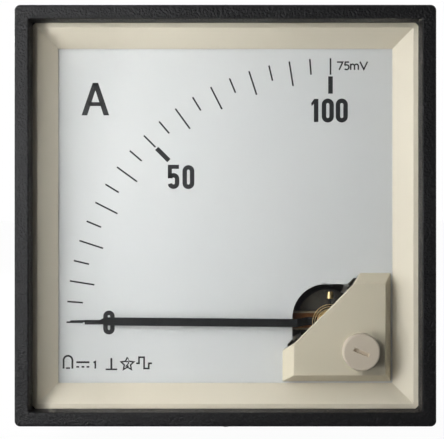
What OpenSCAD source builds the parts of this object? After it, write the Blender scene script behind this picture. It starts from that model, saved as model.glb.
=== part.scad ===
// Analog panel meter: square flush front, 90 degree quadrant scale and a moving-coil movement.
// Millimetres. The front faces -Y, +Z is up and +X is the dial's right as it is read.
// y = 0 is the front of the panel, where the flange seats, and x = z = 0 is the middle of the cut-out.

/* [Front] */
// Width and height of the square front
front_size = 96; // [84:0.5:120]
// Radius of the front's outer corners
front_radius = 1; // [0.5:0.1:4]
// How far the bezel stands out from the panel
front_depth = 8; // [7.5:0.1:12]
// Width of the bezel's flat face
face_width = 3.3; // [2.8:0.1:5]
// Depth of the bezel's opening in front of the window
lip_depth = 3.6; // [3:0.1:5]
// Thickness of the housing flange behind the bezel
flange_thickness = 1.6; // [1.2:0.1:2]
// Wall of the spigot that the bezel snaps over
spigot_wall = 1.2; // [1:0.1:1.6]
// Break along the bezel's front edges
bezel_break = 0.4; // [0.2:0.1:1]

/* [Window and scale frame] */
// Thickness of the window
glass_thickness = 2; // [1.5:0.1:2.5]
// How far the window runs behind the bezel's lip, each side
glass_overlap = 0.5; // [0.3:0.1:0.8]
// Thickness of the scale frame's flat rim
rim_thickness = 1; // [0.8:0.1:1.2]
// Width of the scale frame's mouth behind the window
frame_mouth = 87.8; // [76:0.2:110]
// Width of the dial that the scale frame leaves open
dial_opening = 79.6; // [70:0.2:100]
// Thickness of the scale frame's slopes, measured across
frame_wall = 1.2; // [0.8:0.1:1.6]

/* [Dial] */
// Distance from the panel's front to the dial's face
dial_depth = 2.2; // [1.8:0.1:3]
// Thickness of the dial sheet
dial_thickness = 0.8; // [0.5:0.1:1.2]
// Radius of the dial opening's corner beside the pointer
notch_radius = 8.1; // [7:0.1:9]
// Distance from the pivot to the straight edges of the dial opening
notch_reach = 9.15; // [8.6:0.05:11]

/* [Housing] */
// Width and height of the housing behind the panel
body_size = 90; // [80:0.5:114]
// Radius of the housing's long edges
body_radius = 2; // [1:0.5:4]
// Wall of the housing
body_wall = 1.8; // [1.5:0.1:2]
// Depth of the housing behind the panel's front
body_depth = 46; // [44:0.5:70]
// Thickness of the housing's rear wall
floor_thickness = 2.2; // [2:0.1:4]
// How far the ribs that carry the dial stand in from the wall
rib_height = 1.9; // [1.5:0.1:2]
// Width of those ribs
rib_width = 2; // [1.5:0.1:3]
// Distance of the ribs from the middle of each wall
rib_offset = 22; // [18:0.5:24]

/* [Movement] */
// Pivot axis across the front, from the middle
pivot_x = 25.2; // [24.5:0.1:26]
// Pivot axis up the front, from the middle
pivot_z = -25.5; // [-26:0.1:-24.5]
// Distance from the dial's face back to the magnet
magnet_setback = 4.4; // [4.2:0.1:6]
// Radius of the core magnet
core_radius = 7.5; // [6.2:0.1:9]
// Length of the core magnet and of the iron ring
core_length = 12; // [10:0.5:14]
// Gap between the core magnet and the iron ring
air_gap = 2.5; // [2.4:0.1:2.8]
// Wall of the iron ring
yoke_wall = 4.5; // [4:0.1:4.6]
// Half the angle that each spacer fills between core and ring
spacer_half_angle = 20; // [12:1:22]
// Width of the coil across its sides
coil_width = 4.4; // [3.6:0.1:4.6]
// Thickness of the coil former
former_wall = 0.35; // [0.3:0.05:0.4]
// Depth of the winding on the former
winding_depth = 1.1; // [0.8:0.05:1.1]
// Half the width of the two bearing bridges
bridge_half_width = 2.2; // [2:0.1:2.4]
// Thickness of the bearing bridges
bridge_thickness = 1.2; // [1:0.1:1.4]
// Radius of the jewel screws
jewel_screw_radius = 1.25; // [1:0.05:1.4]
// Radius of the pivot spindles
spindle_radius = 0.45; // [0.4:0.05:0.55]
// Turns in each hairspring
spring_turns = 7; // [3:1:9]
// Radius at which each hairspring is anchored
spring_outer = 4.8; // [3.8:0.1:4.8]
// Thickness of the hairspring strip
spring_strip = 0.12; // [0.1:0.01:0.14]
// Width of the hairspring strip
spring_width = 0.45; // [0.3:0.05:0.5]

/* [Pointer] */
// Distance from the pivot to the pointer's tip
pointer_length = 62; // [50:0.5:63]
// Width of the pointer's broad part
pointer_width = 1.9; // [1.4:0.1:2.4]
// Width of the knife part at the tip
knife_width = 0.65; // [0.4:0.05:0.8]
// Length of the knife part
knife_length = 7; // [4:0.5:10]
// Thickness of the pointer strip
pointer_thickness = 0.5; // [0.4:0.05:0.6]
// Distance between the dial's face and the back of the pointer
pointer_lift = 1.75; // [1.4:0.05:2]
// Angle of the resting pointer above the zero mark
rest_angle = 0.5; // [0:0.1:1]
// Travel from the zero mark to full scale
scale_angle = 90; // [90:1:90]

/* [Corner cover] */
// Width of the cover from the frame's right edge, and its height
cover_size = 26.1; // [25.5:0.1:27]
// Distance from the pivot to the cover's open diagonal edge
cover_cut = 3.3; // [3:0.1:3.8]
// Gap between the cover's top and the window
cover_gap = 0.2; // [0.1:0.05:0.3]
// Width of the cover's bevels in plan
cover_bevel = 2.3; // [1.5:0.1:2.5]
// Wall of the cover
cover_wall = 0.8; // [0.7:0.05:0.9]
// Radius of the pegs that press into the dial
cover_peg_radius = 1.25; // [1:0.05:1.4]

/* [Zero adjuster] */
// Zero adjuster across the front, from the middle
adjuster_x = 31.3; // [30.8:0.1:31.8]
// Zero adjuster up the front, from the middle
adjuster_z = -31.4; // [-31.8:0.1:-30.8]
// Radius of the adjuster's disc
adjuster_radius = 4.3; // [4:0.1:5.2]
// Height of the disc in front of the window
adjuster_height = 1.6; // [1.2:0.1:2]
// Radius of the adjuster's shaft in the window
adjuster_shaft = 2.4; // [2:0.1:2.8]
// Distance of the setting pin from the adjuster's axis
adjuster_throw = 1; // [0.8:0.05:1.2]
// Radius of the setting pin
setting_pin = 0.5; // [0.4:0.05:0.6]
// Angle at which the slot rests, falling to the right
slot_angle = 23; // [0:1:45]
// Length of the screwdriver slot
slot_length = 3.7; // [3:0.1:5]
// Width of the screwdriver slot
slot_width = 0.8; // [0.6:0.05:1.2]

/* [Terminals] */
// Distance between the two terminal studs
stud_pitch = 36; // [30:1:48]
// Height of the studs above the middle of the rear
stud_rise = 16; // [12:1:22]
// Radius of the studs
stud_radius = 2.5; // [2:0.5:3]
// Width across the flats of the stud nuts and heads
nut_flats = 8; // [7:0.5:10]
// Length of plain stud past the outer nuts
stud_end = 7; // [5:0.5:10]

/* [Mounting clamps] */
// Width of each clamp block
clamp_width = 12; // [10:0.5:14]
// Height of each clamp block above the housing
clamp_height = 8; // [7:0.5:10]
// Length of each clamp block along the housing
clamp_length = 9; // [8:0.5:12]
// Radius of the clamp screws
clamp_screw_radius = 2; // [1.5:0.25:2.5]
// Thickness of the panel that the clamp screws are wound up to
panel_thickness = 3; // [2.2:0.1:10]

/* [Fits] */
// Gap between a turning shaft or pin and its hole
running_fit = 0.05; // [0.03:0.01:0.08]
// Gap between parts that only slide together when fitted
slip_fit = 0.1; // [0.05:0.05:0.2]
// Gap round screws that pass through a plain hole
screw_clearance = 0.1; // [0.05:0.05:0.2]

/* [Hidden] */
$fn = 64;
eps = 0.01;

// Levels along the depth, front to rear.
y_face = -front_depth;
y_glass = y_face + lip_depth;
y_rim = y_glass + glass_thickness;
y_shelf = y_rim + rim_thickness;
y_flange = -flange_thickness;
y_dial = dial_depth;
y_dial_back = y_dial + dial_thickness;
y_core = y_dial + magnet_setback;
y_core_end = y_core + core_length;
y_mid = (y_core + y_core_end) / 2;
y_floor = body_depth - floor_thickness;

// Square sizes of the front stack.
opening = front_size - 2 * face_width;
glass_size = opening + 2 * glass_overlap;
recess_size = glass_size + 4 * slip_fit;
spigot_size = recess_size + 2 * spigot_wall;
skirt_size = spigot_size + 2 * slip_fit;
cavity_size = body_size - 2 * body_wall;
step_size = cavity_size + 2.2;
dial_size = cavity_size - 8 * slip_fit;
frame_run = (frame_mouth - dial_opening) / 2 / (y_dial - y_rim);
function frame_half(y) = frame_mouth / 2 - frame_run * (y - y_rim);
snap_length = 12;
snap_depth = 0.3;
snap_height = 0.6;

// Movement.
pivot = [pivot_x, pivot_z];
yoke_bore = core_radius + air_gap;
yoke_radius = yoke_bore + yoke_wall;
foot_thickness = 1.2;
bolt_circle = yoke_bore + yoke_wall / 2;
bolt_radius = 1.25;
y_bridge = y_core - 6;
y_bridge_back = y_bridge + bridge_thickness;
y_collar = y_bridge - 0.55;
collar_radius = 2.2;
former_half = core_radius + 0.5;
former_clear = 0.4;
coil_half = former_half + former_wall + winding_depth;
winding_width = coil_width - 0.8;
y_coil = y_core - former_clear - former_wall - winding_depth;
pointer_dir = 180 - rest_angle;
under_travel = rest_angle + 2.5;
over_travel = scale_angle + 2 - rest_angle;
y_pointer = y_dial - pointer_lift - pointer_thickness;
y_hub = y_coil - 1.7;
hub_radius = 1.6;
lever_ring = 3.4;
lever_thickness = 0.45;
y_lever = y_collar + running_fit;
y_spring = y_bridge_back + 0.55;
spring_inner = spindle_radius + 0.5;
weight_start = spring_outer + 0.75;
y_chassis = y_core_end + 9.4;
chassis_thickness = 1.5;
spacer_radius = 2.4;

// Zero adjuster.
arm = [adjuster_x - pivot_x, adjuster_z - pivot_z];
arm_length = norm(arm);
arm_dir = atan2(arm[1], arm[0]);
retainer_thickness = 0.6;
retainer_radius = 3.6;
neck_radius = adjuster_shaft - 0.7;
y_disc_back = y_glass - running_fit;
y_retainer = y_rim + running_fit;
y_catch = y_retainer + retainer_thickness;
y_catch_end = y_catch + 0.6;
y_pin_end = y_lever + lever_thickness + 0.5;

// Corner cover: it fills the lower right corner of the dial opening.
cover_edge = dial_opening / 2 - slip_fit;
y_cover = y_rim + cover_gap;
cover_line = pivot_z - pivot_x + cover_cut * sqrt(2);

// Housing inside.
boss_radius = 3;
boss_bore = 1.2;
bolt_offset = bolt_circle * sqrt(0.5);
boss_side = bolt_offset + 5.14;
boss_points = [[pivot_x - boss_side, pivot_z - bolt_offset - 2.84],
               [pivot_x + bolt_offset + 4.34, pivot_z - bolt_offset - 4.04],
               [pivot_x + bolt_offset + 3.14, pivot_z + boss_side],
               [pivot_x - boss_side, pivot_z + boss_side]];
y_boss = y_chassis + chassis_thickness;
stud_points = [[-stud_pitch / 2, stud_rise], [stud_pitch / 2, stud_rise]];
lug_thickness = 0.5;
head_thickness = 3;
washer_thickness = 1;
washer_radius = stud_radius * 2;
nut_thickness = stud_radius * 1.6;
y_lug = y_floor - lug_thickness;
y_nut = body_depth + washer_thickness;
y_washer_2 = y_nut + nut_thickness;
y_nut_2 = y_washer_2 + washer_thickness;
y_stud_end = y_nut_2 + nut_thickness + stud_end;
board_points = [[-32, -8], [-8, -8]];
board_size = [32, 26];
board_center = [-20, -8];
board_thickness = 1.6;
y_board = y_floor - 7.8;
post_points = [[-30, 1.5], [-10, 1.5]];
resistor_z = -9;
resistor_radius = 4.4;
y_resistor = y_board - resistor_radius - 0.4;
resistor_length = 15;
wire = 0.6;

// Clamps.
pocket_half = 6.5;
pocket_depth = 4.6;
pocket_wall = 1.5;
slot_half = 2.6;
y_clamp_end = body_depth - 8;
y_pocket = y_clamp_end - 16.5;
y_narrow = y_clamp_end - 8.5;
clamp_axis = body_size / 2 + slip_fit + clamp_height * 0.56;

// ---- helpers ----------------------------------------------------------------

// Extrudes a plan in X and Z from one depth to another.
module slab(y0, y1) {
    translate([0, y1, 0]) rotate([90, 0, 0]) linear_extrude(height = y1 - y0) children();
}

// A round bar along Y.
module rod_y(p, r, y0, y1, fn = 64) {
    translate([p[0], y0, p[1]]) rotate([-90, 0, 0]) cylinder(h = y1 - y0, r = r, $fn = fn);
}

// A cone along Y.
module cone_y(p, r0, r1, y0, y1) {
    translate([p[0], y0, p[1]]) rotate([-90, 0, 0]) cylinder(h = y1 - y0, r1 = r0, r2 = r1);
}

// A tube along Y.
module tube_y(p, r, bore, y0, y1) {
    difference() {
        rod_y(p, r, y0, y1);
        rod_y(p, bore, y0 - 1, y1 + 1);
    }
}

// A hexagon bar along Y, sized across its flats.
module hex_y(p, flats, y0, y1) {
    rod_y(p, flats / 2 / cos(30), y0, y1, 6);
}

// A square plan with true round corners.
module round_square(size, r) {
    square([size, size - 2 * r], center = true);
    square([size - 2 * r, size], center = true);
    for (sx = [-1, 1], sz = [-1, 1])
        translate([sx * (size / 2 - r), sz * (size / 2 - r)]) circle(r = r);
}

// A four-sided solid whose square grows or shrinks along Y.
module taper(h0, h1, y0, y1) {
    polyhedron(
        points = [[-h0, y0, -h0], [h0, y0, -h0], [h0, y0, h0], [-h0, y0, h0],
                  [-h1, y1, -h1], [h1, y1, -h1], [h1, y1, h1], [-h1, y1, h1]],
        faces = [[3, 2, 1, 0], [4, 5, 6, 7], [0, 1, 5, 4], [1, 2, 6, 5], [2, 3, 7, 6], [3, 0, 4, 7]]);
}

// Places what follows at the pivot, with local +X towards an angle on the dial.
module at_pivot(angle) {
    translate([pivot_x, 0, pivot_z]) rotate([0, -angle, 0]) children();
}

// A sector ring around the local Y axis.
module ring_sector(r0, r1, a0, a1, y0, y1) {
    slab(y0, y1) difference() {
        circle(r = r1);
        circle(r = r0);
        rotate(a1) translate([-2 * r1, 0]) square([4 * r1, 2 * r1]);
        rotate(a0) translate([-2 * r1, -2 * r1]) square([4 * r1, 2 * r1]);
    }
}

// A straight round wire between two points.
module wire_run(a, b, r) {
    v = b - a;
    l = norm(v);
    translate(a) rotate([0, acos(v[2] / l), atan2(v[1], v[0])]) cylinder(h = l, r = r, $fn = 24);
}

// A wire through a list of points, with a rounded knuckle where it bends.
module wire_path(points, r) {
    for (i = [0 : len(points) - 2]) wire_run(points[i], points[i + 1], r);
    for (i = [1 : len(points) - 2]) translate(points[i]) sphere(r = r + 0.05, $fn = 24);
}

// Half of one spring turn: a strip bent to half a circle.
module half_turn(r, w) {
    difference() {
        circle(r = r + w / 2);
        circle(r = r - w / 2);
        translate([-2 * r - 1, -4 * r - 2]) square([4 * r + 2, 4 * r + 2]);
    }
}

// A flat spiral drawn with half circles on two centres, from the collet out to the anchor.
module spiral(turns, r_in, r_out, w) {
    start = r_in + w / 2;
    pitch = (r_out - w / 2 - start) / turns;
    for (j = [0 : turns - 1]) {
        half_turn(start + j * pitch, w);
        translate([pitch / 2, 0]) mirror([0, 1]) half_turn(start + (j + 0.5) * pitch, w);
    }
}

// ---- front ------------------------------------------------------------------

module bezel() {
    color([0.09, 0.09, 0.09]) {
        difference() {
            intersection() {
                slab(y_face, y_flange) round_square(front_size, front_radius);
                taper(front_size / 2 - bezel_break, front_size / 2 - bezel_break + front_depth, y_face, y_face + front_depth);
            }
            slab(y_face - 1, y_flange + 1) round_square(opening, 1);
            slab(y_glass, y_flange + 1) round_square(skirt_size, 0.8);
            taper(opening / 2 + bezel_break / 2 + 1, opening / 2 - 1, y_face - 1, y_face + bezel_break / 2 + 1);
        }
        for (a = [0 : 90 : 270], s = [-1, 1])
            rotate([0, a, 0]) translate([skirt_size / 2 - slip_fit - snap_depth, y_glass + 1.1, s * 24 - snap_length / 2])
                cube([slip_fit + snap_depth + 0.2, snap_height, snap_length]);
    }
}

module window() {
    color([0.85, 0.9, 0.9, 0.3]) difference() {
        slab(y_glass, y_rim) round_square(glass_size, 0.8);
        rod_y([adjuster_x, adjuster_z], adjuster_shaft + running_fit, y_glass - 1, y_rim + 1);
    }
}

module scale_frame() {
    outer = glass_size - 2 * slip_fit;
    color([0.8, 0.76, 0.66]) difference() {
        union() {
            slab(y_rim, y_shelf) round_square(outer, 0.7);
            taper(frame_half(y_shelf - eps) + frame_wall, frame_half(y_dial) + frame_wall, y_shelf - eps, y_dial);
        }
        taper(frame_half(y_rim - 0.5), frame_half(y_dial + 0.5), y_rim - 0.5, y_dial + 0.5);
    }
}

// The opening in the dial that clears the movement: a rounded corner beside the pointer's root,
// and a larger hole that the corner cover hides.
module dial_cut() {
    left = pivot_x - notch_reach;
    top = pivot_z + notch_reach;
    corner = notch_radius;
    lo = cover_edge - cover_size + 1.3;
    hi = dial_opening / 2 - 4.4;
    c = cover_line + 0.4;
    translate([left + corner, top - corner]) circle(r = corner);
    polygon([[left, left + c - 1], [left, top - corner], [left + corner, top], [top - c + 1, top]]);
    polygon([[lo, -hi], [hi, -hi], [hi, -lo], [-lo - c, -lo], [lo, lo + c]]);
}

module dial_plate() {
    color([0.93, 0.92, 0.88]) difference() {
        slab(y_dial, y_dial_back) round_square(dial_size, 1);
        slab(y_dial - 1, y_dial_back + 1) dial_cut();
        for (p = cover_pegs()) rod_y(p, cover_peg_radius, y_dial - 1, y_dial_back + 1);
    }
}

// ---- corner cover -----------------------------------------------------------

function cover_pegs() = [[cover_edge - 2.4, pivot_z + 5.5], [pivot_x - 6.2, -cover_edge + 2.4]];

// The cover's outline in plan, pulled in by d on its four bevelled sides and out by past on its diagonal.
function cover_plan(d, past = 0) =
    let (lo = cover_edge - cover_size + d, hi = cover_edge - d, c = cover_line + past)
    [[lo, -hi], [hi, -hi], [hi, -lo], [-lo - c, -lo], [lo, lo + c]];

// A solid with the cover's bevels, pulled in by t all round and lowered by t.
module cover_block(t, y1, past = 0) {
    run = cover_bevel / (y_dial - y_cover);
    bottom = cover_plan(t - (y1 - y_dial) * run, past);
    top = cover_plan(t + (y_dial - y_cover - t) * run, past);
    n = len(bottom);
    polyhedron(
        points = concat([for (p = top) [p[0], y_cover + t, p[1]]], [for (p = bottom) [p[0], y1, p[1]]]),
        faces = concat([[for (i = [n - 1 : -1 : 0]) i]], [[for (i = [0 : n - 1]) n + i]],
                       [for (i = [0 : n - 1]) [i, (i + 1) % n, n + (i + 1) % n, n + i]]));
}

module corner_cover() {
    color([0.78, 0.74, 0.63]) {
        difference() {
            cover_block(0, y_dial);
            // The space under the cover runs out through the side towards the pointer.
            cover_block(cover_wall, y_dial + 1, 1);
            rod_y([adjuster_x, adjuster_z], retainer_radius + 0.35, y_cover - 1, y_cover + cover_wall + 1);
        }
        intersection() {
            cover_block(0, y_dial);
            union() for (p = cover_pegs()) rod_y(p, cover_peg_radius + 0.6, y_cover + 0.1, y_dial);
        }
        for (p = cover_pegs()) rod_y(p, cover_peg_radius, y_dial - eps, y_dial_back + 1.2);
    }
}

// ---- zero adjuster ----------------------------------------------------------

module zero_adjuster() {
    centre = [adjuster_x, adjuster_z];
    r = adjuster_radius;
    edge = 0.5;
    color([0.82, 0.77, 0.68]) {
        difference() {
            translate([adjuster_x, y_disc_back, adjuster_z]) rotate([90, 0, 0]) rotate_extrude($fn = 96)
                union() {
                    square([r, adjuster_height - edge]);
                    square([r - edge, adjuster_height]);
                    translate([r - edge, adjuster_height - edge]) circle(r = edge, $fn = 32);
                }
            translate([adjuster_x, y_disc_back - adjuster_height, adjuster_z]) rotate([0, slot_angle, 0])
                cube([slot_length, 1.8, slot_width], center = true);
        }
        rod_y(centre, adjuster_shaft, y_disc_back - eps, y_retainer);
        rod_y(centre, neck_radius, y_retainer - eps, y_catch + eps);
        rod_y(centre, neck_radius + 0.4, y_catch, y_catch_end);
        rod_y(centre + arm / arm_length * adjuster_throw, setting_pin, y_catch_end - eps, y_pin_end, 32);
    }
}

module adjuster_retainer() {
    color([0.7, 0.7, 0.72]) tube_y([adjuster_x, adjuster_z], retainer_radius, neck_radius, y_retainer, y_catch);
}

module zero_lever() {
    reach = arm_length + adjuster_throw;
    fork = setting_pin + running_fit / 2;
    color([0.8, 0.65, 0.3]) at_pivot(arm_dir) {
        difference() {
            slab(y_lever, y_lever + lever_thickness) union() {
                circle(r = lever_ring);
                translate([lever_ring - 0.6, -0.9]) square([reach - lever_ring, 1.8]);
                translate([reach - 2.4, -1.3]) square([3.8, 2.6]);
            }
            rod_y([0, 0], collar_radius + running_fit, y_lever - 1, y_lever + 2);
            slab(y_lever - 1, y_lever + 2) union() {
                translate([reach - 1.4, -fork]) square([4, 2 * fork]);
                translate([reach - 1.4, 0]) circle(r = fork, $fn = 32);
            }
        }
        translate([spring_outer, y_lever, -0.6]) cube([0.45, y_spring + spring_width - y_lever, 1.2]);
    }
}

// ---- bearings ---------------------------------------------------------------

// One bearing bridge drawn for the front. Its feet stand on the iron ring.
module bridge_shape() {
    w = bridge_half_width;
    foot_in = bolt_circle - 3.6;
    difference() {
        union() {
            slab(y_bridge, y_bridge_back) square([2 * foot_in + 2.4, 2 * w], center = true);
            for (s = [-1, 1]) {
                slab(y_bridge, y_core) translate([s * (foot_in + 0.6), 0]) square([1.2, 2 * w], center = true);
                slab(y_core - foot_thickness, y_core) union() {
                    translate([s * (foot_in + bolt_circle) / 2, 0]) square([bolt_circle - foot_in, 2 * w], center = true);
                    translate([s * bolt_circle, 0]) circle(r = w);
                }
            }
            rod_y([0, 0], 2.6, y_bridge, y_bridge_back + 0.2);
            rod_y([0, 0], collar_radius, y_collar, y_bridge + eps);
        }
        rod_y([0, 0], jewel_screw_radius, y_collar - 1, y_bridge_back + 2);
        for (s = [-1, 1]) rod_y([s * bolt_circle, 0], bolt_radius + screw_clearance, y_core - 3, y_core + 1);
    }
}

// The stops that the tail of the pointer meets just past each end of its travel.
module pointer_stops() {
    tail = pointer_dir - 180 - 45;
    edge = asin(0.3 / 7.6);
    ring_sector(7.4, bolt_circle - 3.1, tail + under_travel + edge + 0.4, -12, y_hub + 0.1, y_hub + 1);
    ring_sector(7.4, bolt_circle - 3.1, -168, tail - over_travel - edge - 0.4, y_hub + 0.1, y_hub + 1);
}

module front_bridge() {
    color([0.68, 0.68, 0.66]) at_pivot(45) {
        bridge_shape();
        pointer_stops();
    }
}

// Mirrors a shape about the middle of the movement's depth.
module to_rear() {
    translate([0, 2 * y_mid, 0]) mirror([0, 1, 0]) children();
}

module rear_bridge() {
    color([0.68, 0.68, 0.66]) at_pivot(45) to_rear() bridge_shape();
}

module jewel_screw_shape() {
    end = y_bridge_back + 0.5;
    difference() {
        rod_y([0, 0], jewel_screw_radius, y_collar - 1.05, end);
        translate([0, y_collar - 1.05, 0]) rotate([0, 20, 0]) cube([4, 0.9, 0.4], center = true);
        rod_y([0, 0], 0.75, end - 0.9, end + 1);
    }
}

module jewel_shape() {
    end = y_bridge_back + 0.5;
    difference() {
        rod_y([0, 0], 0.75, end - 0.9, end);
        cone_y([0, 0], 0.08, 0.54, end - 0.5, end + 0.05);
    }
}

module lock_nut_shape() {
    difference() {
        hex_y([0, 0], 5, y_collar - 0.75, y_collar);
        rod_y([0, 0], jewel_screw_radius, y_collar - 2, y_collar + 1);
    }
}

module front_jewel_screw() { color([0.8, 0.66, 0.35]) at_pivot(0) jewel_screw_shape(); }
module front_jewel() { color([0.6, 0.05, 0.15]) at_pivot(0) jewel_shape(); }
module front_lock_nut() { color([0.8, 0.66, 0.35]) at_pivot(0) lock_nut_shape(); }
module rear_jewel_screw() { color([0.8, 0.66, 0.35]) at_pivot(0) to_rear() jewel_screw_shape(); }
module rear_jewel() { color([0.6, 0.05, 0.15]) at_pivot(0) to_rear() jewel_shape(); }
module rear_lock_nut() { color([0.8, 0.66, 0.35]) at_pivot(0) to_rear() lock_nut_shape(); }

module hairspring_shape(turns) {
    slab(y_spring, y_spring + spring_width) spiral(turns, spring_inner, spring_outer, spring_strip);
}

module front_hairspring() {
    color([0.75, 0.5, 0.28]) at_pivot(arm_dir) hairspring_shape(spring_turns);
}

module rear_hairspring() {
    color([0.75, 0.5, 0.28]) at_pivot(135) to_rear() hairspring_shape(spring_turns);
}

module rear_spring_tag() {
    y1 = 2 * y_mid - y_bridge + 0.55;
    y0 = y1 - 0.35;
    color([0.8, 0.65, 0.3]) at_pivot(135) {
        difference() {
            slab(y0, y1) union() {
                circle(r = 3.8);
                translate([0, -1.1]) square([8.5, 2.2]);
            }
            rod_y([0, 0], collar_radius + 0.5, y0 - 1, y1 + 1);
        }
        y_end = 2 * y_mid - y_spring - spring_width;
        translate([spring_outer, y_end, -0.6]) cube([0.45, y0 - y_end + eps, 1.2]);
    }
}

module tag_insulator() {
    y0 = 2 * y_mid - y_bridge;
    color([0.75, 0.7, 0.6]) at_pivot(0) difference() {
        union() {
            rod_y([0, 0], collar_radius + 0.5, y0, y0 + 0.55);
            rod_y([0, 0], 3.3, y0, y0 + 0.2);
        }
        rod_y([0, 0], collar_radius, y0 - 1, y0 + 2);
    }
}

// ---- moving element ---------------------------------------------------------

module spindle_shape() {
    tip = y_bridge_back + 0.06;
    color([0.75, 0.76, 0.78]) at_pivot(0) {
        rod_y([0, 0], spindle_radius, tip + 0.72, y_coil - 0.3 + eps, 32);
        cone_y([0, 0], 0.05, spindle_radius, tip, tip + 0.72 + eps);
        rod_y([0, 0], 1.5, y_coil - 0.3, y_coil);
        tube_y([0, 0], spring_inner, spindle_radius - 0.05, y_spring - 0.05, y_spring + spring_width + 0.05);
    }
}

module front_spindle() { spindle_shape(); }
module rear_spindle() { to_rear() spindle_shape(); }

module coil_winding() {
    color([0.62, 0.36, 0.16]) at_pivot(pointer_dir) difference() {
        slab(y_coil, 2 * y_mid - y_coil) square([2 * coil_half, winding_width], center = true);
        slab(y_coil + winding_depth, 2 * y_mid - y_coil - winding_depth)
            square([2 * (coil_half - winding_depth), winding_width + 2], center = true);
    }
}

module coil_former() {
    y0 = y_coil + winding_depth;
    y1 = 2 * y_mid - y0;
    flange = 0.4;
    color([0.72, 0.73, 0.75]) at_pivot(pointer_dir) difference() {
        slab(y0 - winding_depth, y1 + winding_depth) square([2 * coil_half, coil_width], center = true);
        slab(y0 + former_wall, y1 - former_wall) square([2 * former_half, coil_width + 2], center = true);
        difference() {
            slab(y0 - winding_depth - 1, y1 + winding_depth + 1) square([2 * coil_half + 2, winding_width], center = true);
            slab(y0, y1) square([2 * (coil_half - winding_depth), winding_width + 2], center = true);
        }
    }
}

module pointer_hub() {
    y0 = y_hub;
    y1 = y_coil - 0.3;
    arm_y = y_hub + 0.55;
    color([0.12, 0.12, 0.12]) at_pivot(pointer_dir) {
        tube_y([0, 0], hub_radius, spindle_radius, y0, y1);
        for (a = [90, 180, 270])
            rotate([0, a, 0]) translate([hub_radius - 0.1, arm_y, 0]) rotate([0, 90, 0])
                cylinder(h = (a == 180 ? 8.1 : weight_start + 1.7) - hub_radius, r = 0.3, $fn = 24);
    }
}

module balance_weights() {
    arm_y = y_hub + 0.55;
    color([0.8, 0.66, 0.35]) at_pivot(pointer_dir)
        for (a = [90, 180, 270])
            rotate([0, a, 0]) translate([weight_start, arm_y, 0]) rotate([0, 90, 0]) difference() {
                cylinder(h = a == 180 ? 1.75 : 1.6, r = 0.85, $fn = 32);
                translate([0, 0, -1]) cylinder(h = 5, r = 0.3, $fn = 24);
            }
}

// The pointer starts on the hub behind the dial and is cranked forward through the dial's opening.
module pointer() {
    t = pointer_thickness;
    root_y = y_hub + 0.3;
    front_y = y_pointer;
    r1 = spring_outer + 0.6;
    r2 = r1 + 2.8;
    k = pointer_width / 2;
    taper_in = pointer_length - knife_length - 1.2;
    color([0.05, 0.05, 0.05]) at_pivot(pointer_dir) difference() {
        intersection() {
            translate([0, 0, -k]) linear_extrude(height = 2 * k)
                polygon([[0, root_y], [r1, root_y], [r2, front_y], [pointer_length, front_y],
                         [pointer_length, front_y + t], [r2 + 0.2, front_y + t], [r1 + 0.25, root_y + t + 0.1], [0, root_y + t + 0.1]]);
            slab(front_y - 1, root_y + 2)
                polygon([[0, -k], [taper_in, -k], [taper_in + 1.2, -knife_width / 2], [pointer_length, -knife_width / 4],
                         [pointer_length, knife_width / 4], [taper_in + 1.2, knife_width / 2], [taper_in, k], [0, k]]);
        }
        rod_y([0, 0], hub_radius, root_y - 1, root_y + 2);
    }
}

// ---- magnet system ----------------------------------------------------------

module core_magnet() {
    color([0.3, 0.3, 0.32]) rod_y(pivot, core_radius, y_core, y_core_end);
}

module iron_yoke() {
    color([0.45, 0.46, 0.48]) at_pivot(45) difference() {
        rod_y([0, 0], yoke_radius, y_core, y_core_end, 96);
        rod_y([0, 0], yoke_bore, y_core - 1, y_core_end + 1, 96);
        for (s = [-1, 1]) rod_y([s * bolt_circle, 0], bolt_radius + screw_clearance, y_core - 1, y_core_end + 1);
    }
}

module core_spacers() {
    color([0.66, 0.66, 0.64]) at_pivot(45) for (a = [0, 180])
        ring_sector(core_radius, yoke_bore, a - spacer_half_angle, a + spacer_half_angle, y_core, y_core_end);
}

module movement_bolts() {
    y0 = y_core - foot_thickness;
    color([0.75, 0.76, 0.78]) at_pivot(45) for (s = [-1, 1]) {
        difference() {
            rod_y([s * bolt_circle, 0], 2.1, y0 - 1.3, y0);
            translate([s * bolt_circle, y0 - 1.3, 0]) cube([6, 1.2, 0.6], center = true);
        }
        rod_y([s * bolt_circle, 0], bolt_radius, y0 - eps, y_boss + 2.6);
    }
}

module movement_spacers() {
    color([0.8, 0.66, 0.35]) at_pivot(45) for (s = [-1, 1])
        tube_y([s * bolt_circle, 0], spacer_radius, bolt_radius + screw_clearance, y_core_end + foot_thickness, y_chassis);
}

module movement_nuts() {
    color([0.75, 0.76, 0.78]) at_pivot(45) for (s = [-1, 1]) difference() {
        hex_y([s * bolt_circle, 0], 5, y_boss, y_boss + 2);
        rod_y([s * bolt_circle, 0], bolt_radius, y_boss - 1, y_boss + 3);
    }
}

// ---- chassis ----------------------------------------------------------------

module chassis() {
    right = cavity_size / 2 - rib_height - 0.2;
    left = pivot_x - boss_side - boss_radius - 0.2;
    top = pivot_z + boss_side + boss_radius + 0.2;
    color([0.7, 0.71, 0.7]) difference() {
        slab(y_chassis, y_boss) translate([left, -right]) square([right - left, top + right]);
        for (p = boss_points) rod_y(p, boss_bore + 2 * screw_clearance, y_chassis - 1, y_boss + 1);
        at_pivot(45) for (s = [-1, 1]) rod_y([s * bolt_circle, 0], bolt_radius + screw_clearance, y_chassis - 1, y_boss + 1);
        rod_y(pivot, 4.2, y_chassis - 1, y_boss + 1);
        each_clamp() pocket_body(slip_fit);
    }
}

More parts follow.
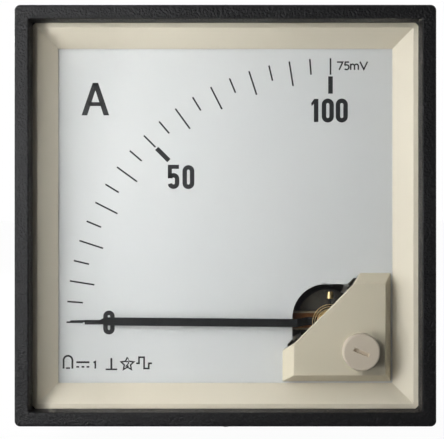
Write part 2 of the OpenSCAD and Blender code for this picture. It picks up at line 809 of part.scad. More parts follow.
// A pan head screw that cuts its own thread in a boss, head towards the front.
module boss_screw(p, y_seat, depth) {
    difference() {
        union() {
            rod_y(p, 2.3, y_seat - 1.5, y_seat);
            rod_y(p, boss_bore, y_seat - eps, y_seat + depth);
        }
        translate([p[0], y_seat - 1.5, p[1]]) {
            cube([2.6, 1.8, 0.6], center = true);
            cube([0.6, 1.8, 2.6], center = true);
        }
    }
}

module chassis_screws() {
    color([0.72, 0.73, 0.75]) for (i = [0 : 3])
        boss_screw(boss_points[i], y_chassis - (i == 3 ? lug_thickness : 0), 8);
}

// ---- inside wiring ----------------------------------------------------------

module resistor_board() {
    color([0.45, 0.3, 0.16]) difference() {
        slab(y_board, y_board + board_thickness)
            translate([board_center[0] - board_size[0] / 2, board_center[1] - board_size[1] / 2]) square(board_size);
        for (p = board_points) rod_y(p, boss_bore + 2 * screw_clearance, y_board - 1, y_board + 3);
        for (p = post_points) rod_y(p, 0.8, y_board - 1, y_board + 3);
        for (s = [-1, 1]) rod_y([board_center[0] + s * 5, resistor_z], 0.5, y_board - 1, y_board + 3, 32);
    }
}

module board_screws() {
    color([0.72, 0.73, 0.75]) for (p = board_points) boss_screw(p, y_board, 5.6);
}

// A flanged bobbin with its resistance wire and two pins through the board.
module series_resistor() {
    l = resistor_length;
    color([0.55, 0.42, 0.25]) translate([board_center[0] - l / 2, y_resistor, resistor_z]) rotate([0, 90, 0]) {
        cylinder(h = l, r = resistor_radius - 1);
        for (x = [0, l - 1.4]) translate([0, 0, x]) cylinder(h = 1.4, r = resistor_radius + 0.4);
    }
    color([0.55, 0.42, 0.25]) for (s = [-1, 1])
        rod_y([board_center[0] + s * 5, resistor_z], 0.5, y_resistor, y_board + board_thickness + 0.8, 32);
}

module solder_posts() {
    color([0.85, 0.83, 0.75]) for (p = post_points) {
        rod_y(p, 0.8, y_board - 4, y_board + board_thickness);
        rod_y(p, 1.4, y_board - 0.8, y_board);
        rod_y(p, 1.3, y_board - 4.6, y_board - 4);
    }
}

// A ring terminal on the inner face of the rear wall or under a screw.
module lug(p, bore, r, dir, length, y0) {
    translate([p[0], 0, p[1]]) rotate([0, -dir, 0]) difference() {
        slab(y0, y0 + lug_thickness) union() {
            circle(r = r);
            translate([0, -1.5]) square([length, 3]);
        }
        rod_y([0, 0], bore, y0 - 1, y0 + 2);
    }
}

lug_reach = stud_radius + 9.5;
module positive_lug() { color([0.85, 0.83, 0.78]) lug(stud_points[0], stud_radius, stud_radius + 2.7, 225, lug_reach, y_lug); }
module negative_lug() { color([0.85, 0.83, 0.78]) lug(stud_points[1], stud_radius, stud_radius + 2.7, 270, lug_reach, y_lug); }
module chassis_lug() { color([0.85, 0.83, 0.78]) lug(boss_points[3], boss_bore + screw_clearance, 2.6, 135, 7, y_chassis - lug_thickness); }

function along(p, dir, d, y) = [p[0] + cos(dir) * d, y, p[1] + sin(dir) * d];

module positive_lead() {
    a = along(stud_points[0], 225, lug_reach - 1.4, y_lug);
    b = [post_points[0][0], y_board - 2.4, post_points[0][1] + 0.8];
    color([0.6, 0.08, 0.08]) wire_path([a, a + [0, -6, 0], [b[0], y_board - 2.4, b[2] + 4], b], wire);
}

module negative_lead() {
    a = along(stud_points[1], 270, lug_reach - 1.4, y_lug);
    b = along(boss_points[3], 135, 5.8, y_chassis - lug_thickness);
    color([0.1, 0.1, 0.12]) wire_path([a, a + [0, -4, 0], [a[0] - 6, (a[1] + b[1]) / 2, 0], b + [-1, -4, 1], b + [0, -1.6, 0], b], wire);
}

module movement_lead() {
    y_tag = 2 * y_mid - y_bridge + 0.55;
    a = along(pivot, 135, 7.4, y_tag);
    b = [post_points[1][0], y_board - 2.4, post_points[1][1] - 0.8];
    color([0.2, 0.25, 0.6]) wire_path([a, a + [0, 1.5, 0], [2, y_tag + 2.5, a[2] + 6], [b[0] - 0.7, b[1] - 0.3, b[2] - 3.4], b], wire);
}

// ---- housing ----------------------------------------------------------------

// The shape of one clamp pocket's outside, standing in from the top wall.
module pocket_body(grow = 0) {
    w = pocket_half + pocket_wall + grow;
    translate([-w, y_pocket - pocket_wall - grow, body_size / 2 - body_wall - pocket_depth - pocket_wall - grow])
        cube([2 * w, y_clamp_end - y_pocket + 2 * (pocket_wall + grow), pocket_depth + pocket_wall + grow + eps]);
}

module pocket_space() {
    wall = body_size / 2 - body_wall;
    translate([-pocket_half, y_pocket, wall - pocket_depth])
        cube([2 * pocket_half, y_clamp_end - y_pocket, pocket_depth]);
    translate([-pocket_half + 1, y_pocket, wall - eps]) cube([2 * pocket_half - 2, y_narrow - y_pocket, body_wall + 1]);
    translate([-slot_half, y_pocket, wall - eps]) cube([2 * slot_half, y_clamp_end - y_pocket, body_wall + 1]);
}

module each_clamp() {
    children();
    mirror([0, 0, 1]) children();
}

module rear_sign(p, plus) {
    translate([p[0], body_depth + 0.2, p[1]]) {
        cube([4, 0.6, 1], center = true);
        if (plus) cube([1, 0.6, 4], center = true);
    }
}

// Ribs that carry the dial plate, cut away beside the iron ring.
module dial_ribs() {
    difference() {
        for (a = [0 : 90 : 270], s = [-1, 1])
            rotate([0, a, 0]) translate([cavity_size / 2 - rib_height, y_dial_back, s * rib_offset - rib_width / 2])
                cube([rib_height + eps, y_floor - y_dial_back + eps, rib_width]);
        rod_y(pivot, yoke_radius + 0.4, y_bridge, y_boss + 3);
    }
}

module housing() {
    color([0.12, 0.12, 0.125]) difference() {
        union() {
            difference() {
                union() {
                    slab(y_flange, 0) round_square(front_size, front_radius);
                    slab(y_glass + 0.2, y_flange + eps) round_square(spigot_size, 1);
                    slab(-eps, body_depth) round_square(body_size, body_radius);
                }
                slab(y_glass - 1, y_shelf) round_square(recess_size, 0.8);
                slab(y_shelf - eps, 0) square(step_size, center = true);
                slab(-eps, y_floor) square(cavity_size, center = true);
                // Grooves for the bezel's snaps.
                for (a = [0 : 90 : 270], s = [-1, 1])
                    rotate([0, a, 0]) translate([spigot_size / 2 - snap_depth - slip_fit / 2, y_glass + 1.1, s * 24 - snap_length / 2 - 0.5])
                        cube([2, snap_height + 0.1, snap_length + 1]);
            }
            dial_ribs();
            for (p = boss_points) rod_y(p, boss_radius, y_boss, y_floor + eps);
            for (p = board_points) rod_y(p, boss_radius, y_board + board_thickness, y_floor + eps);
            each_clamp() pocket_body();
            // Collars round the studs, and the barrier between them.
            for (p = stud_points) rod_y(p, washer_radius + 2.6, body_depth - eps, body_depth + 0.8);
            translate([-1, body_depth - eps, stud_rise - 12]) cube([2, 8, 24]);
            for (i = [0, 1]) rear_sign([stud_points[i][0], stud_rise - 12], i == 0);
        }
        for (p = stud_points) {
            rod_y(p, stud_radius + screw_clearance, y_floor - 1, body_depth + 2);
            rod_y(p, washer_radius + slip_fit, body_depth, body_depth + 2);
        }
        for (p = boss_points) rod_y(p, boss_bore, y_boss - 1, y_boss + 8.5);
        for (p = board_points) rod_y(p, boss_bore, y_board - 1, y_board + 6.2);
        each_clamp() pocket_space();
    }
}

// ---- terminals --------------------------------------------------------------

// A headed stud. A groove parts the length that the nuts use from the plain end.
module stud(p) {
    groove = y_nut_2 + nut_thickness + 0.2;
    hex_y(p, nut_flats, y_lug - head_thickness, y_lug);
    rod_y(p, stud_radius, y_lug - eps, groove);
    rod_y(p, stud_radius - 0.35, groove - eps, groove + 0.6 + eps);
    rod_y(p, stud_radius, groove + 0.6, y_stud_end - 0.5);
    cone_y(p, stud_radius, stud_radius - 0.5, y_stud_end - 0.5, y_stud_end);
}

module positive_stud() { color([0.8, 0.66, 0.35]) stud(stud_points[0]); }
module negative_stud() { color([0.8, 0.66, 0.35]) stud(stud_points[1]); }

module washers(y0) {
    for (p = stud_points) tube_y(p, washer_radius, stud_radius + screw_clearance, y0, y0 + washer_thickness);
}

module nuts(y0) {
    for (p = stud_points) difference() {
        hex_y(p, nut_flats, y0, y0 + nut_thickness);
        rod_y(p, stud_radius, y0 - 1, y0 + nut_thickness + 1);
    }
}

module stud_washers() { color([0.82, 0.7, 0.42]) washers(body_depth); }
module fixing_nuts() { color([0.8, 0.66, 0.35]) nuts(y_nut); }
module terminal_washers() { color([0.82, 0.7, 0.42]) washers(y_washer_2); }
module terminal_nuts() { color([0.8, 0.66, 0.35]) nuts(y_nut_2); }

// ---- mounting clamps --------------------------------------------------------

module clamp_block() {
    wall = body_size / 2 - body_wall;
    base = body_size / 2 + slip_fit;
    neck = slot_half - slip_fit;
    head = pocket_half - 1 - 2 * slip_fit;
    color([0.66, 0.66, 0.64]) difference() {
        union() {
            translate([-clamp_width / 2, y_clamp_end - clamp_length, base]) cube([clamp_width, clamp_length, clamp_height]);
            translate([-neck, y_clamp_end - 5.5, wall - 1]) cube([2 * neck, 5.5, base - wall + 1 + eps]);
            translate([-head, y_clamp_end - 6, wall - 2.4]) cube([2 * head, 6, 2.4]);
        }
        rod_y([0, clamp_axis], clamp_screw_radius, y_clamp_end - clamp_length - 1, y_clamp_end + 1);
    }
}

module clamp_screw() {
    y0 = panel_thickness;
    y1 = y_clamp_end + 9;
    color([0.75, 0.76, 0.78]) difference() {
        union() {
            cone_y([0, clamp_axis], clamp_screw_radius - 0.5, clamp_screw_radius, y0, y0 + 0.5 + eps);
            rod_y([0, clamp_axis], clamp_screw_radius, y0 + 0.5, y1);
            rod_y([0, clamp_axis], clamp_screw_radius * 1.75, y1 - eps, y1 + 2.6);
        }
        translate([0, y1 + 2.6, clamp_axis]) cube([12, 2.4, 1.1], center = true);
    }
}

module clamp_block_top() { clamp_block(); }
module clamp_block_bottom() { mirror([0, 0, 1]) clamp_block(); }
module clamp_screw_top() { clamp_screw(); }
module clamp_screw_bottom() { mirror([0, 0, 1]) clamp_screw(); }

// ---- one line per node ------------------------------------------------------

housing();
bezel();
window();
scale_frame();
dial_plate();
corner_cover();
zero_adjuster();
adjuster_retainer();
zero_lever();
front_jewel_screw();
front_jewel();
front_lock_nut();
front_bridge();
front_hairspring();
pointer();
pointer_hub();
balance_weights();
front_spindle();
coil_former();
coil_winding();
rear_spindle();
rear_hairspring();
rear_bridge();
rear_jewel_screw();
rear_jewel();
rear_lock_nut();
rear_spring_tag();
tag_insulator();
core_magnet();
core_spacers();
iron_yoke();
movement_bolts();
movement_spacers();
movement_nuts();
chassis();
chassis_screws();
resistor_board();
board_screws();
series_resistor();
solder_posts();
positive_lead();
negative_lead();
movement_lead();
positive_lug();
negative_lug();
chassis_lug();
positive_stud();
negative_stud();
stud_washers();
fixing_nuts();
terminal_washers();
terminal_nuts();
clamp_block_top();
clamp_block_bottom();
clamp_screw_top();
clamp_screw_bottom();
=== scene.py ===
"""Analog panel meter: finishes, dial print, mouldings and threads round its fixed frame.

The object stands on its lower clamp. Its front faces -Y, +Z is up the dial and +X is to the
right as the dial is read. Every size below is in millimetres unless its name says otherwise.
"""

import logging
from dataclasses import dataclass, field, replace
from enum import Enum
from functools import cache
from typing import Callable, Sequence

import bmesh
import bpy
import numpy as np
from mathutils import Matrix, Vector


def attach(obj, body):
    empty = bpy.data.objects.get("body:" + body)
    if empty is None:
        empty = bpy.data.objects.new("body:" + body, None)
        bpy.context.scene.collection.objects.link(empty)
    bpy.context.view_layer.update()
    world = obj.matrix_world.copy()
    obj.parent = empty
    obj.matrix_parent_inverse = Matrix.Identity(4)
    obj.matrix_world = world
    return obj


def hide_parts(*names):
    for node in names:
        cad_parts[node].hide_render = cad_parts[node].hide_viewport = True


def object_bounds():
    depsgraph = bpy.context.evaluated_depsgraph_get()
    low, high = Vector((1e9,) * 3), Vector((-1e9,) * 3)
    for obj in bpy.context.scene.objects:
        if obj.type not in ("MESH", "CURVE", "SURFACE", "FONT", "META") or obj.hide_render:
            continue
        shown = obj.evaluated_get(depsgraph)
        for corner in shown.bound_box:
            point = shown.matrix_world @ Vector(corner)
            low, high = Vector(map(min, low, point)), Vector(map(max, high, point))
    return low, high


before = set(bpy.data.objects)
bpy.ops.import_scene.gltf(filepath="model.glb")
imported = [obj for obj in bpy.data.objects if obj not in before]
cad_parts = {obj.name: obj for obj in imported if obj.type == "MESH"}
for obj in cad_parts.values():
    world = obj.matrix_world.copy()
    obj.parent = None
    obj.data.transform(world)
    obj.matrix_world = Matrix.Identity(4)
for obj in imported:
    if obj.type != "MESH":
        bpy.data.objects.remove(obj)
CAD_LOW, CAD_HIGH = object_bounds()

Array = np.ndarray
Colour = tuple[float, float, float]

MM = 0.001
log = logging.getLogger("panel_meter")


class Body(str, Enum):
    """The bodies of the mechanism that a piece can ride on."""

    METER = "meter"
    MOVING = "moving_element"
    ADJUSTER = "adjuster"


class Slot(str, Enum):
    """Names of the record's material slots, handed to each new piece beside its finish."""

    BEZEL = "bezel_black"
    HOUSING = "black_moulding"
    CREAM = "cream_moulding"
    COVER = "cover_cream"
    ADJUSTER = "adjuster_cream"
    BLACK = "pointer_black"
    BRASS = "brass_parts"
    STEEL = "steel_parts"
    ZINC = "zinc_cast"
    COPPER = "copper_wire"


# ---- surfaces ------------------------------------------------------------------------------

# Turns between faces that are kept sharp, taken as flat and worth rounding, and a long edge.
SHARP_DEGREES = 32.0
FLAT_DEGREES = 0.6
CORNER_RADIANS = 0.6
LONG_EDGE = 3.0


def metres(place: Sequence[float]) -> tuple[float, ...]:
    """A place in millimetres as Blender's metres."""
    return tuple(v * MM for v in place)


def linked(name: str, data: bpy.types.ID) -> bpy.types.Object:
    """A new object in the scene from a mesh, a camera or a lamp."""
    made = bpy.data.objects.new(name, data)
    bpy.context.scene.collection.objects.link(made)
    return made


def shade_smooth(mesh: bpy.types.Mesh) -> None:
    """Shades every face of a mesh smooth."""
    mesh.polygons.foreach_set("use_smooth", np.ones(len(mesh.polygons), bool))


def even_normals(piece: bpy.types.Object, sharp: float = SHARP_DEGREES) -> None:
    """Keeps edges past an angle in degrees sharp, and evens the shading between them."""
    piece.data.set_sharp_from_angle(angle=np.radians(sharp))
    piece.modifiers.new("even_normals", "WEIGHTED_NORMAL").keep_sharp = True


def ring_faces(rows: int, cols: int, close_rows: bool) -> Array:
    """Quads between neighbouring rows of a grid whose rows are closed loops.

    Args:
        rows: How many loops there are.
        cols: How many points each loop has.
        close_rows: Whether the last loop joins the first.

    Returns:
        Point indices, four to a quad.
    """
    r = np.arange(rows if close_rows else rows - 1)[:, None]
    c = np.arange(cols)[None, :]
    r2, c2 = (r + 1) % rows, (c + 1) % cols
    quads = np.stack([r * cols + c, r * cols + c2, r2 * cols + c2, r2 * cols + c], axis=-1)
    return quads.reshape(-1, 4)


def signed_volume(points: Array, quads: Array) -> float:
    """Volume enclosed by quads, positive when they wind outwards.

    It is the sum over triangles of a dot (b cross c) / 6, with each quad cut in two.
    """
    p = points - points.mean(axis=0)
    a, b, c, d = (p[quads[:, i]] for i in range(4))
    first = np.einsum("ij,ij->i", a, np.cross(b, c))
    second = np.einsum("ij,ij->i", a, np.cross(c, d))
    return float((first + second).sum() / 6)


@dataclass
class ClosedMesh:
    """Closed surfaces gathered into one mesh, in millimetres."""

    points: list[Array] = field(default_factory=list)
    faces: list[list[int]] = field(default_factory=list)
    count: int = 0

    def add(self, grid: Array, close_rows: bool = False) -> None:
        """Adds a grid whose rows are closed loops, with its two ends capped or joined.

        Args:
            grid: Rows by columns by three coordinates.
            close_rows: Whether the last row joins the first, as round a ring.
        """
        rows, cols = grid.shape[:2]
        flat = grid.reshape(-1, 3)
        quads = ring_faces(rows, cols, close_rows)
        outward = quads
        caps: list[Array] = []
        if not close_rows:
            caps = [np.arange(cols)[::-1], np.arange(cols) + (rows - 1) * cols]
            fans = [
                np.stack([np.full(cols - 2, cap[0]), cap[1:-1], cap[2:], cap[2:]], axis=-1)
                for cap in caps
            ]
            outward = np.concatenate([quads, *fans])
        if signed_volume(flat, outward) < 0:
            quads = quads[:, ::-1]
            caps = [cap[::-1] for cap in caps]
        self.points.append(flat)
        self.faces += (quads + self.count).tolist()
        self.faces += [(cap + self.count).tolist() for cap in caps]
        self.count += len(flat)

    def add_plate(self, outline: Array, front: float, back: float) -> None:
        """Adds a flat plate with a given outline in X and Z, between two depths."""
        loop = np.insert(outline, 1, 0.0, axis=1)
        grid = np.stack([loop, loop])
        grid[0, :, 1], grid[1, :, 1] = front, back
        self.add(grid)

    def piece(self, name: str, sharp: float = SHARP_DEGREES) -> bpy.types.Object:
        """Makes the object, shaded smooth with sharp edges past an angle in degrees."""
        mesh = bpy.data.meshes.new(name)
        points = np.concatenate(self.points) * MM
        mesh.from_pydata(points.tolist(), [], self.faces)
        shade_smooth(mesh)
        made = linked(name, mesh)
        even_normals(made, sharp)
        mesh.update()
        return made


def rounded_outline(corners: Sequence[tuple[float, float, float]], steps: int = 5) -> Array:
    """Closed outline whose corners are rounded by arcs tangent to both sides.

    With half the corner's angle h and radius r, each arc starts r / tan h from the corner and
    its centre lies r / sin h along the bisector. Points turn evenly round the centre.

    Args:
        corners: First coordinate, second coordinate and radius of each corner.
        steps: Spans in each arc.

    Returns:
        The outline's points, two coordinates each.
    """
    least_radius = 0.004
    data = np.array(corners, float)
    at, radius = data[:, :2], np.maximum(data[:, 2:], least_radius)
    back = np.roll(at, 1, axis=0) - at
    ahead = np.roll(at, -1, axis=0) - at
    back /= np.linalg.norm(back, axis=1, keepdims=True)
    ahead /= np.linalg.norm(ahead, axis=1, keepdims=True)
    half = np.arccos(np.clip((back * ahead).sum(axis=1, keepdims=True), -1, 1)) / 2
    middle = back + ahead
    middle /= np.linalg.norm(middle, axis=1, keepdims=True)
    centre = at + middle * radius / np.sin(half)
    first = at + back * radius / np.tan(half) - centre
    last = at + ahead * radius / np.tan(half) - centre
    turn = (np.pi - 2 * half)[:, None, :]
    k = np.linspace(0, 1, steps + 1)[None, :, None]
    bend = np.sin((1 - k) * turn) * first[:, None] + np.sin(k * turn) * last[:, None]
    return (centre[:, None] + bend / np.sin(turn)).reshape(-1, 2)


def square_ring(half: Array, depth: Array, corner: Array, spans: int = 8) -> Array:
    """A section carried round a square whose corners are quarter circles.

    At each corner the point is sign * (half - corner) + corner * (cos t, sin t), with t turning
    a quarter from one side's normal to the next.

    Args:
        half: Half the square's width at each point of the section.
        depth: Y at each point of the section.
        corner: Corner radius at each point of the section.
        spans: Spans in each quarter circle.

    Returns:
        Grid of points, path by section by three coordinates.
    """
    t = np.linspace(0, np.pi / 2, spans + 1)
    turn = (np.arange(4)[:, None] * np.pi / 2 + t).ravel()
    quarter = np.repeat(np.arange(4), spans + 1) * np.pi / 2 + np.pi / 4
    sign_x, sign_z = np.sign(np.cos(quarter)), np.sign(np.sin(quarter))
    x = sign_x[:, None] * (half - corner) + corner * np.cos(turn)[:, None]
    z = sign_z[:, None] * (half - corner) + corner * np.sin(turn)[:, None]
    return np.stack([x, np.broadcast_to(depth, x.shape), z], axis=-1)


def around(centre: tuple[float, float], radius: Array, y: Array, t: Array) -> Array:
    """Grid of points at given radii, depths and turns about an axis along Y."""
    x = centre[0] + radius * np.cos(t)
    z = centre[1] + radius * np.sin(t)
    return np.stack([x, np.broadcast_to(y, x.shape), z], axis=-1)


def lathe(profile: Array, centre: tuple[float, float], spans: int = 64) -> Array:
    """A profile of radius and depth turned about an axis along Y.

    Args:
        profile: Radius and Y of each point.
        centre: X and Z of the axis.
        spans: Spans round the axis.

    Returns:
        Grid of points, profile by turn by three coordinates.
    """
    t = np.linspace(0, 2 * np.pi, spans, endpoint=False)
    return around(centre, profile[:, :1], profile[:, 1:], t)


def arc(centre: tuple[float, float], radius: float, start: float, end: float, spans: int) -> Array:
    """Points on a circle between two angles in degrees, both ends included."""
    t = np.radians(np.linspace(start, end, spans + 1))
    return np.stack([centre[0] + radius * np.cos(t), centre[1] + radius * np.sin(t)], axis=-1)


def stroke(path: Array, width: float, front: float, back: float, closed: bool = False) -> Array:
    """A flat stroke of even width along a path in X and Z.

    Each point moves sideways by half the width over the cosine of half the turn there, along
    the mean of the normals before and after it, so that corners are mitred.

    Args:
        path: X and Z of the middle line.
        width: Width of the stroke.
        front: Y of its face.
        back: Y of its back.
        closed: Whether the path joins its own start.

    Returns:
        Grid of points, path by four corners by three coordinates.
    """
    ahead = np.roll(path, -1, axis=0) - path
    ahead /= np.linalg.norm(ahead, axis=1, keepdims=True)
    if not closed:
        ahead[-1] = ahead[-2]
    before = np.roll(ahead, 1, axis=0)
    if not closed:
        before[0] = ahead[0]
    mean = before + ahead
    mean /= np.linalg.norm(mean, axis=1, keepdims=True)
    reach = width / 2 / (mean * ahead).sum(axis=1, keepdims=True)
    side = np.stack([-mean[:, 1], mean[:, 0]], axis=-1) * reach
    left, right = path + side, path - side
    grid = np.empty((len(path), 4, 3))
    for column, (edge, y) in enumerate(((left, front), (right, front), (right, back), (left, back))):
        grid[:, column, 0], grid[:, column, 1], grid[:, column, 2] = edge[:, 0], y, edge[:, 1]
    return grid


def smooth_step(value: Array, low: float, high: float) -> Array:
    """0 below low, 1 above high, and 3 t^2 - 2 t^3 of the share between."""
    t = np.clip((value - low) / (high - low), 0, 1)
    return t * t * (3 - 2 * t)


def merged_copy(node: str, name: str) -> bpy.types.Object:
    """A copy of a CAD node with its loose triangles joined and its flat faces made whole."""
    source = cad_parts[node].data
    points = np.empty(len(source.vertices) * 3)
    source.vertices.foreach_get("co", points)
    corners = np.empty(len(source.loops), np.int32)
    source.loops.foreach_get("vertex_index", corners)
    keys, index = np.unique(np.round(points.reshape(-1, 3), 7), axis=0, return_inverse=True)
    triangles = index.ravel()[corners].reshape(-1, 3)
    distinct = (np.diff(np.sort(triangles, axis=1), axis=1) > 0).all(axis=1)
    mesh = bpy.data.meshes.new(name)
    mesh.from_pydata(keys.tolist(), [], triangles[distinct].tolist())
    shape = bmesh.new()
    shape.from_mesh(mesh)
    bmesh.ops.dissolve_limit(
        shape, angle_limit=np.radians(FLAT_DEGREES), verts=shape.verts[:], edges=shape.edges[:]
    )
    shape.to_mesh(mesh)
    shape.free()
    shade_smooth(mesh)
    return linked(name, mesh)


def soften(
    piece: bpy.types.Object,
    edge: float,
    wanted: Callable[[Array, Array], Array] | None = None,
    segments: int = 3,
) -> bpy.types.Object:
    """Rounds a piece's outward corners as its mould does.

    Args:
        piece: The piece to round.
        edge: Width of the rounding.
        wanted: Picks edges from the millimetre places of their two ends, or None for all.
        segments: Faces across each rounding.

    Returns:
        The same piece.
    """
    shape = bmesh.new()
    shape.from_mesh(piece.data)
    layer = shape.edges.layers.float.new("bevel_weight_edge")
    ends = np.array([[v.co[:] for v in e.verts] for e in shape.edges]) / MM
    chosen = np.array(
        [
            len(e.link_faces) == 2 and e.calc_face_angle() > CORNER_RADIANS and e.is_convex
            for e in shape.edges
        ]
    )
    if wanted is not None:
        chosen &= wanted(ends[:, 0], ends[:, 1])
    for item, on in zip(shape.edges, chosen):
        item[layer] = float(on)
    shape.to_mesh(piece.data)
    shape.free()
    bevel = piece.modifiers.new("soft_edges", "BEVEL")
    bevel.limit_method = "WEIGHT"
    bevel.width = edge * MM
    bevel.segments = segments
    bevel.use_clamp_overlap = False
    bevel.harden_normals = False
    even_normals(piece)
    return piece


def long_edges(first: Array, second: Array) -> Array:
    """Edges that aren't the short ones round bores."""
    return np.linalg.norm(second - first, axis=1) > LONG_EDGE


def cut_away(piece: bpy.types.Object, tool: bpy.types.Object) -> None:
    """Cuts one closed piece out of another and removes the cutting piece."""
    cut = piece.modifiers.new("cut", "BOOLEAN")
    cut.operation, cut.solver, cut.object = "DIFFERENCE", "EXACT", tool
    piece.modifiers.move(len(piece.modifiers) - 1, 0)
    ready = piece.evaluated_get(bpy.context.evaluated_depsgraph_get())
    mesh = bpy.data.meshes.new_from_object(ready)
    piece.modifiers.clear()
    piece.data = mesh
    bpy.data.objects.remove(tool)
    even_normals(piece)


# ---- finishes ------------------------------------------------------------------------------


@dataclass
class NodeDesk:
    """A short way to place and join shader nodes in one tree."""

    tree: bpy.types.NodeTree

    def add(self, kind: str, **settings: object) -> bpy.types.Node:
        """Adds a node, sets its properties, and returns it."""
        node = self.tree.nodes.new(kind)
        for name, value in settings.items():
            setattr(node, name, value)
        return node

    def feed(self, socket: bpy.types.NodeSocket, source: object) -> None:
        """Joins a socket to another, or gives it a plain value."""
        if isinstance(source, bpy.types.NodeSocket):
            self.tree.links.new(source, socket)
        else:
            socket.default_value = source

    def feed_all(self, node: bpy.types.Node, sources: dict[str | int, object]) -> None:
        """Feeds a node's inputs, each known by its name or its number."""
        for key, source in sources.items():
            self.feed(node.inputs[key], source)

    def fed(self, kind: str, sources: dict[str | int, object], **settings: object) -> bpy.types.Node:
        """Adds a node with its properties and its inputs set, and returns it."""
        node = self.add(kind, **settings)
        self.feed_all(node, sources)
        return node

    def maths(self, operation: str, *values: object) -> bpy.types.NodeSocket:
        """Result of a Math node on the given sockets or numbers."""
        return self.fed("ShaderNodeMath", dict(enumerate(values)), operation=operation).outputs[0]

    def noise(self, place: object, scale: object, detail: float) -> bpy.types.NodeSocket:
        """Strength of a noise texture at a place."""
        inputs = {"Vector": place, "Scale": scale, "Detail": detail}
        return self.fed("ShaderNodeTexNoise", inputs).outputs["Fac"]

    def blend(self, share: object, first: object, second: object) -> bpy.types.NodeSocket:
        """Colour between two others by a share."""
        inputs = {0: share, 6: first, 7: second}
        return self.fed("ShaderNodeMix", inputs, data_type="RGBA").outputs[2]

    def spread(self, value: object, low: float, high: float) -> bpy.types.NodeSocket:
        """A value stretched so that low becomes 0 and high becomes 1, held between them."""
        inputs = {"Value": value, "From Min": low, "From Max": high}
        node = self.fed("ShaderNodeMapRange", inputs, interpolation_type="SMOOTHSTEP")
        return node.outputs["Result"]

    def object_place(self) -> bpy.types.NodeSocket:
        """Place on the object itself, in metres."""
        return self.add("ShaderNodeTexCoord").outputs["Object"]

    def uneven(self, strength: object, given: bpy.types.Node) -> bpy.types.NodeSocket:
        """A group's roughness, swung about its mean by the strength of a noise."""
        swing = self.maths("SUBTRACT", strength, 0.5)
        return self.maths("MULTIPLY_ADD", swing, given.outputs["Spread"], given.outputs["Roughness"])


def shader_group(
    name: str, colours: Sequence[str], numbers: Sequence[str], outputs: Sequence[str]
) -> tuple[bpy.types.NodeTree, NodeDesk, bpy.types.Node, bpy.types.Node]:
    """Starts a shader node group with named sockets.

    Args:
        name: Name of the group.
        colours: Names of its colour inputs.
        numbers: Names of its number inputs.
        outputs: Names of its outputs; Colour is a colour and the rest are numbers.

    Returns:
        The group, a desk on it, and its input and output nodes.
    """
    tree = bpy.data.node_groups.new(name, "ShaderNodeTree")
    for label in colours:
        tree.interface.new_socket(label, in_out="INPUT", socket_type="NodeSocketColor")
    for label in numbers:
        tree.interface.new_socket(label, in_out="INPUT", socket_type="NodeSocketFloat")
    for label in outputs:
        kind = "NodeSocketColor" if label == "Colour" else "NodeSocketFloat"
        tree.interface.new_socket(label, in_out="OUTPUT", socket_type=kind)
    desk = NodeDesk(tree)
    return tree, desk, desk.add("NodeGroupInput"), desk.add("NodeGroupOutput")


def moulded_surface_group() -> bpy.types.NodeTree:
    """Moulded plastic: spark-eroded grain, a slow drift of tone, uneven gloss, and lighter flecks in
    the grain painted as its glints.
    """
    tree, desk, given, out = shader_group(
        "moulded_surface",
        ["Colour", "Shade"],
        ["Grain Scale", "Drift Scale", "Drift", "Roughness", "Spread", "Painted Glint"],
        ["Colour", "Roughness", "Height"],
    )
    place = desk.object_place()
    grain = desk.noise(place, given.outputs["Grain Scale"], 3.0)
    drift = desk.noise(place, given.outputs["Drift Scale"], 2.0)
    share = desk.maths("MULTIPLY", desk.spread(drift, 0.3, 0.7), given.outputs["Drift"])
    base = desk.blend(share, given.outputs["Colour"], given.outputs["Shade"])
    # Painted glints: where the grain is strong, the colour turns towards the second tone, light
    # specks standing for light caught on the grain.
    painted_glint = desk.maths("MULTIPLY", desk.spread(grain, 0.52, 0.72), given.outputs["Painted Glint"])
    colour = desk.blend(painted_glint, base, given.outputs["Shade"])
    rough = desk.uneven(grain, given)
    desk.feed_all(out, {"Colour": colour, "Roughness": rough, "Height": grain})
    return tree


def worked_metal_group() -> bpy.types.NodeTree:
    """Turned, drawn or plated metal: fine streaks along one axis, and a clouded tarnish."""
    tree, desk, given, out = shader_group(
        "worked_metal",
        ["Colour", "Tarnish"],
        ["Streak Scale", "Stretch", "Cloud Scale", "Cloud", "Roughness", "Spread"],
        ["Colour", "Roughness", "Height"],
    )
    place = desk.object_place()
    along = desk.fed("ShaderNodeCombineXYZ", {0: 1.0, 1: given.outputs["Stretch"], 2: 1.0})
    pulled = desk.fed("ShaderNodeVectorMath", {0: place, 1: along.outputs[0]}, operation="MULTIPLY")
    streak = desk.noise(pulled.outputs[0], given.outputs["Streak Scale"], 2.0)
    cloud = desk.noise(place, given.outputs["Cloud Scale"], 4.0)
    share = desk.maths("MULTIPLY", desk.spread(cloud, 0.42, 0.72), given.outputs["Cloud"])
    colour = desk.blend(share, given.outputs["Colour"], given.outputs["Tarnish"])
    rough = desk.maths("MULTIPLY_ADD", share, 0.25, desk.uneven(streak, given))
    desk.feed_all(out, {"Colour": colour, "Roughness": rough, "Height": streak})
    return tree


MOULDED_SURFACE = moulded_surface_group()
WORKED_METAL = worked_metal_group()


def opaque(colour: Colour) -> tuple[float, float, float, float]:
    """A colour with full alpha, as shader sockets take it."""
    return (*colour, 1.0)


def new_material(
    name: str, colour: Colour
) -> tuple[bpy.types.Material, NodeDesk, bpy.types.Node]:
    """Starts a material.

    Args:
        name: Name of the material.
        colour: Its plain colour, for views that don't shade.

    Returns:
        The material, a desk on its nodes, and its main shader.
    """
    made = bpy.data.materials.new(name)
    made.use_nodes = True
    made.diffuse_color = opaque(colour)
    return made, NodeDesk(made.node_tree), made.node_tree.nodes["Principled BSDF"]


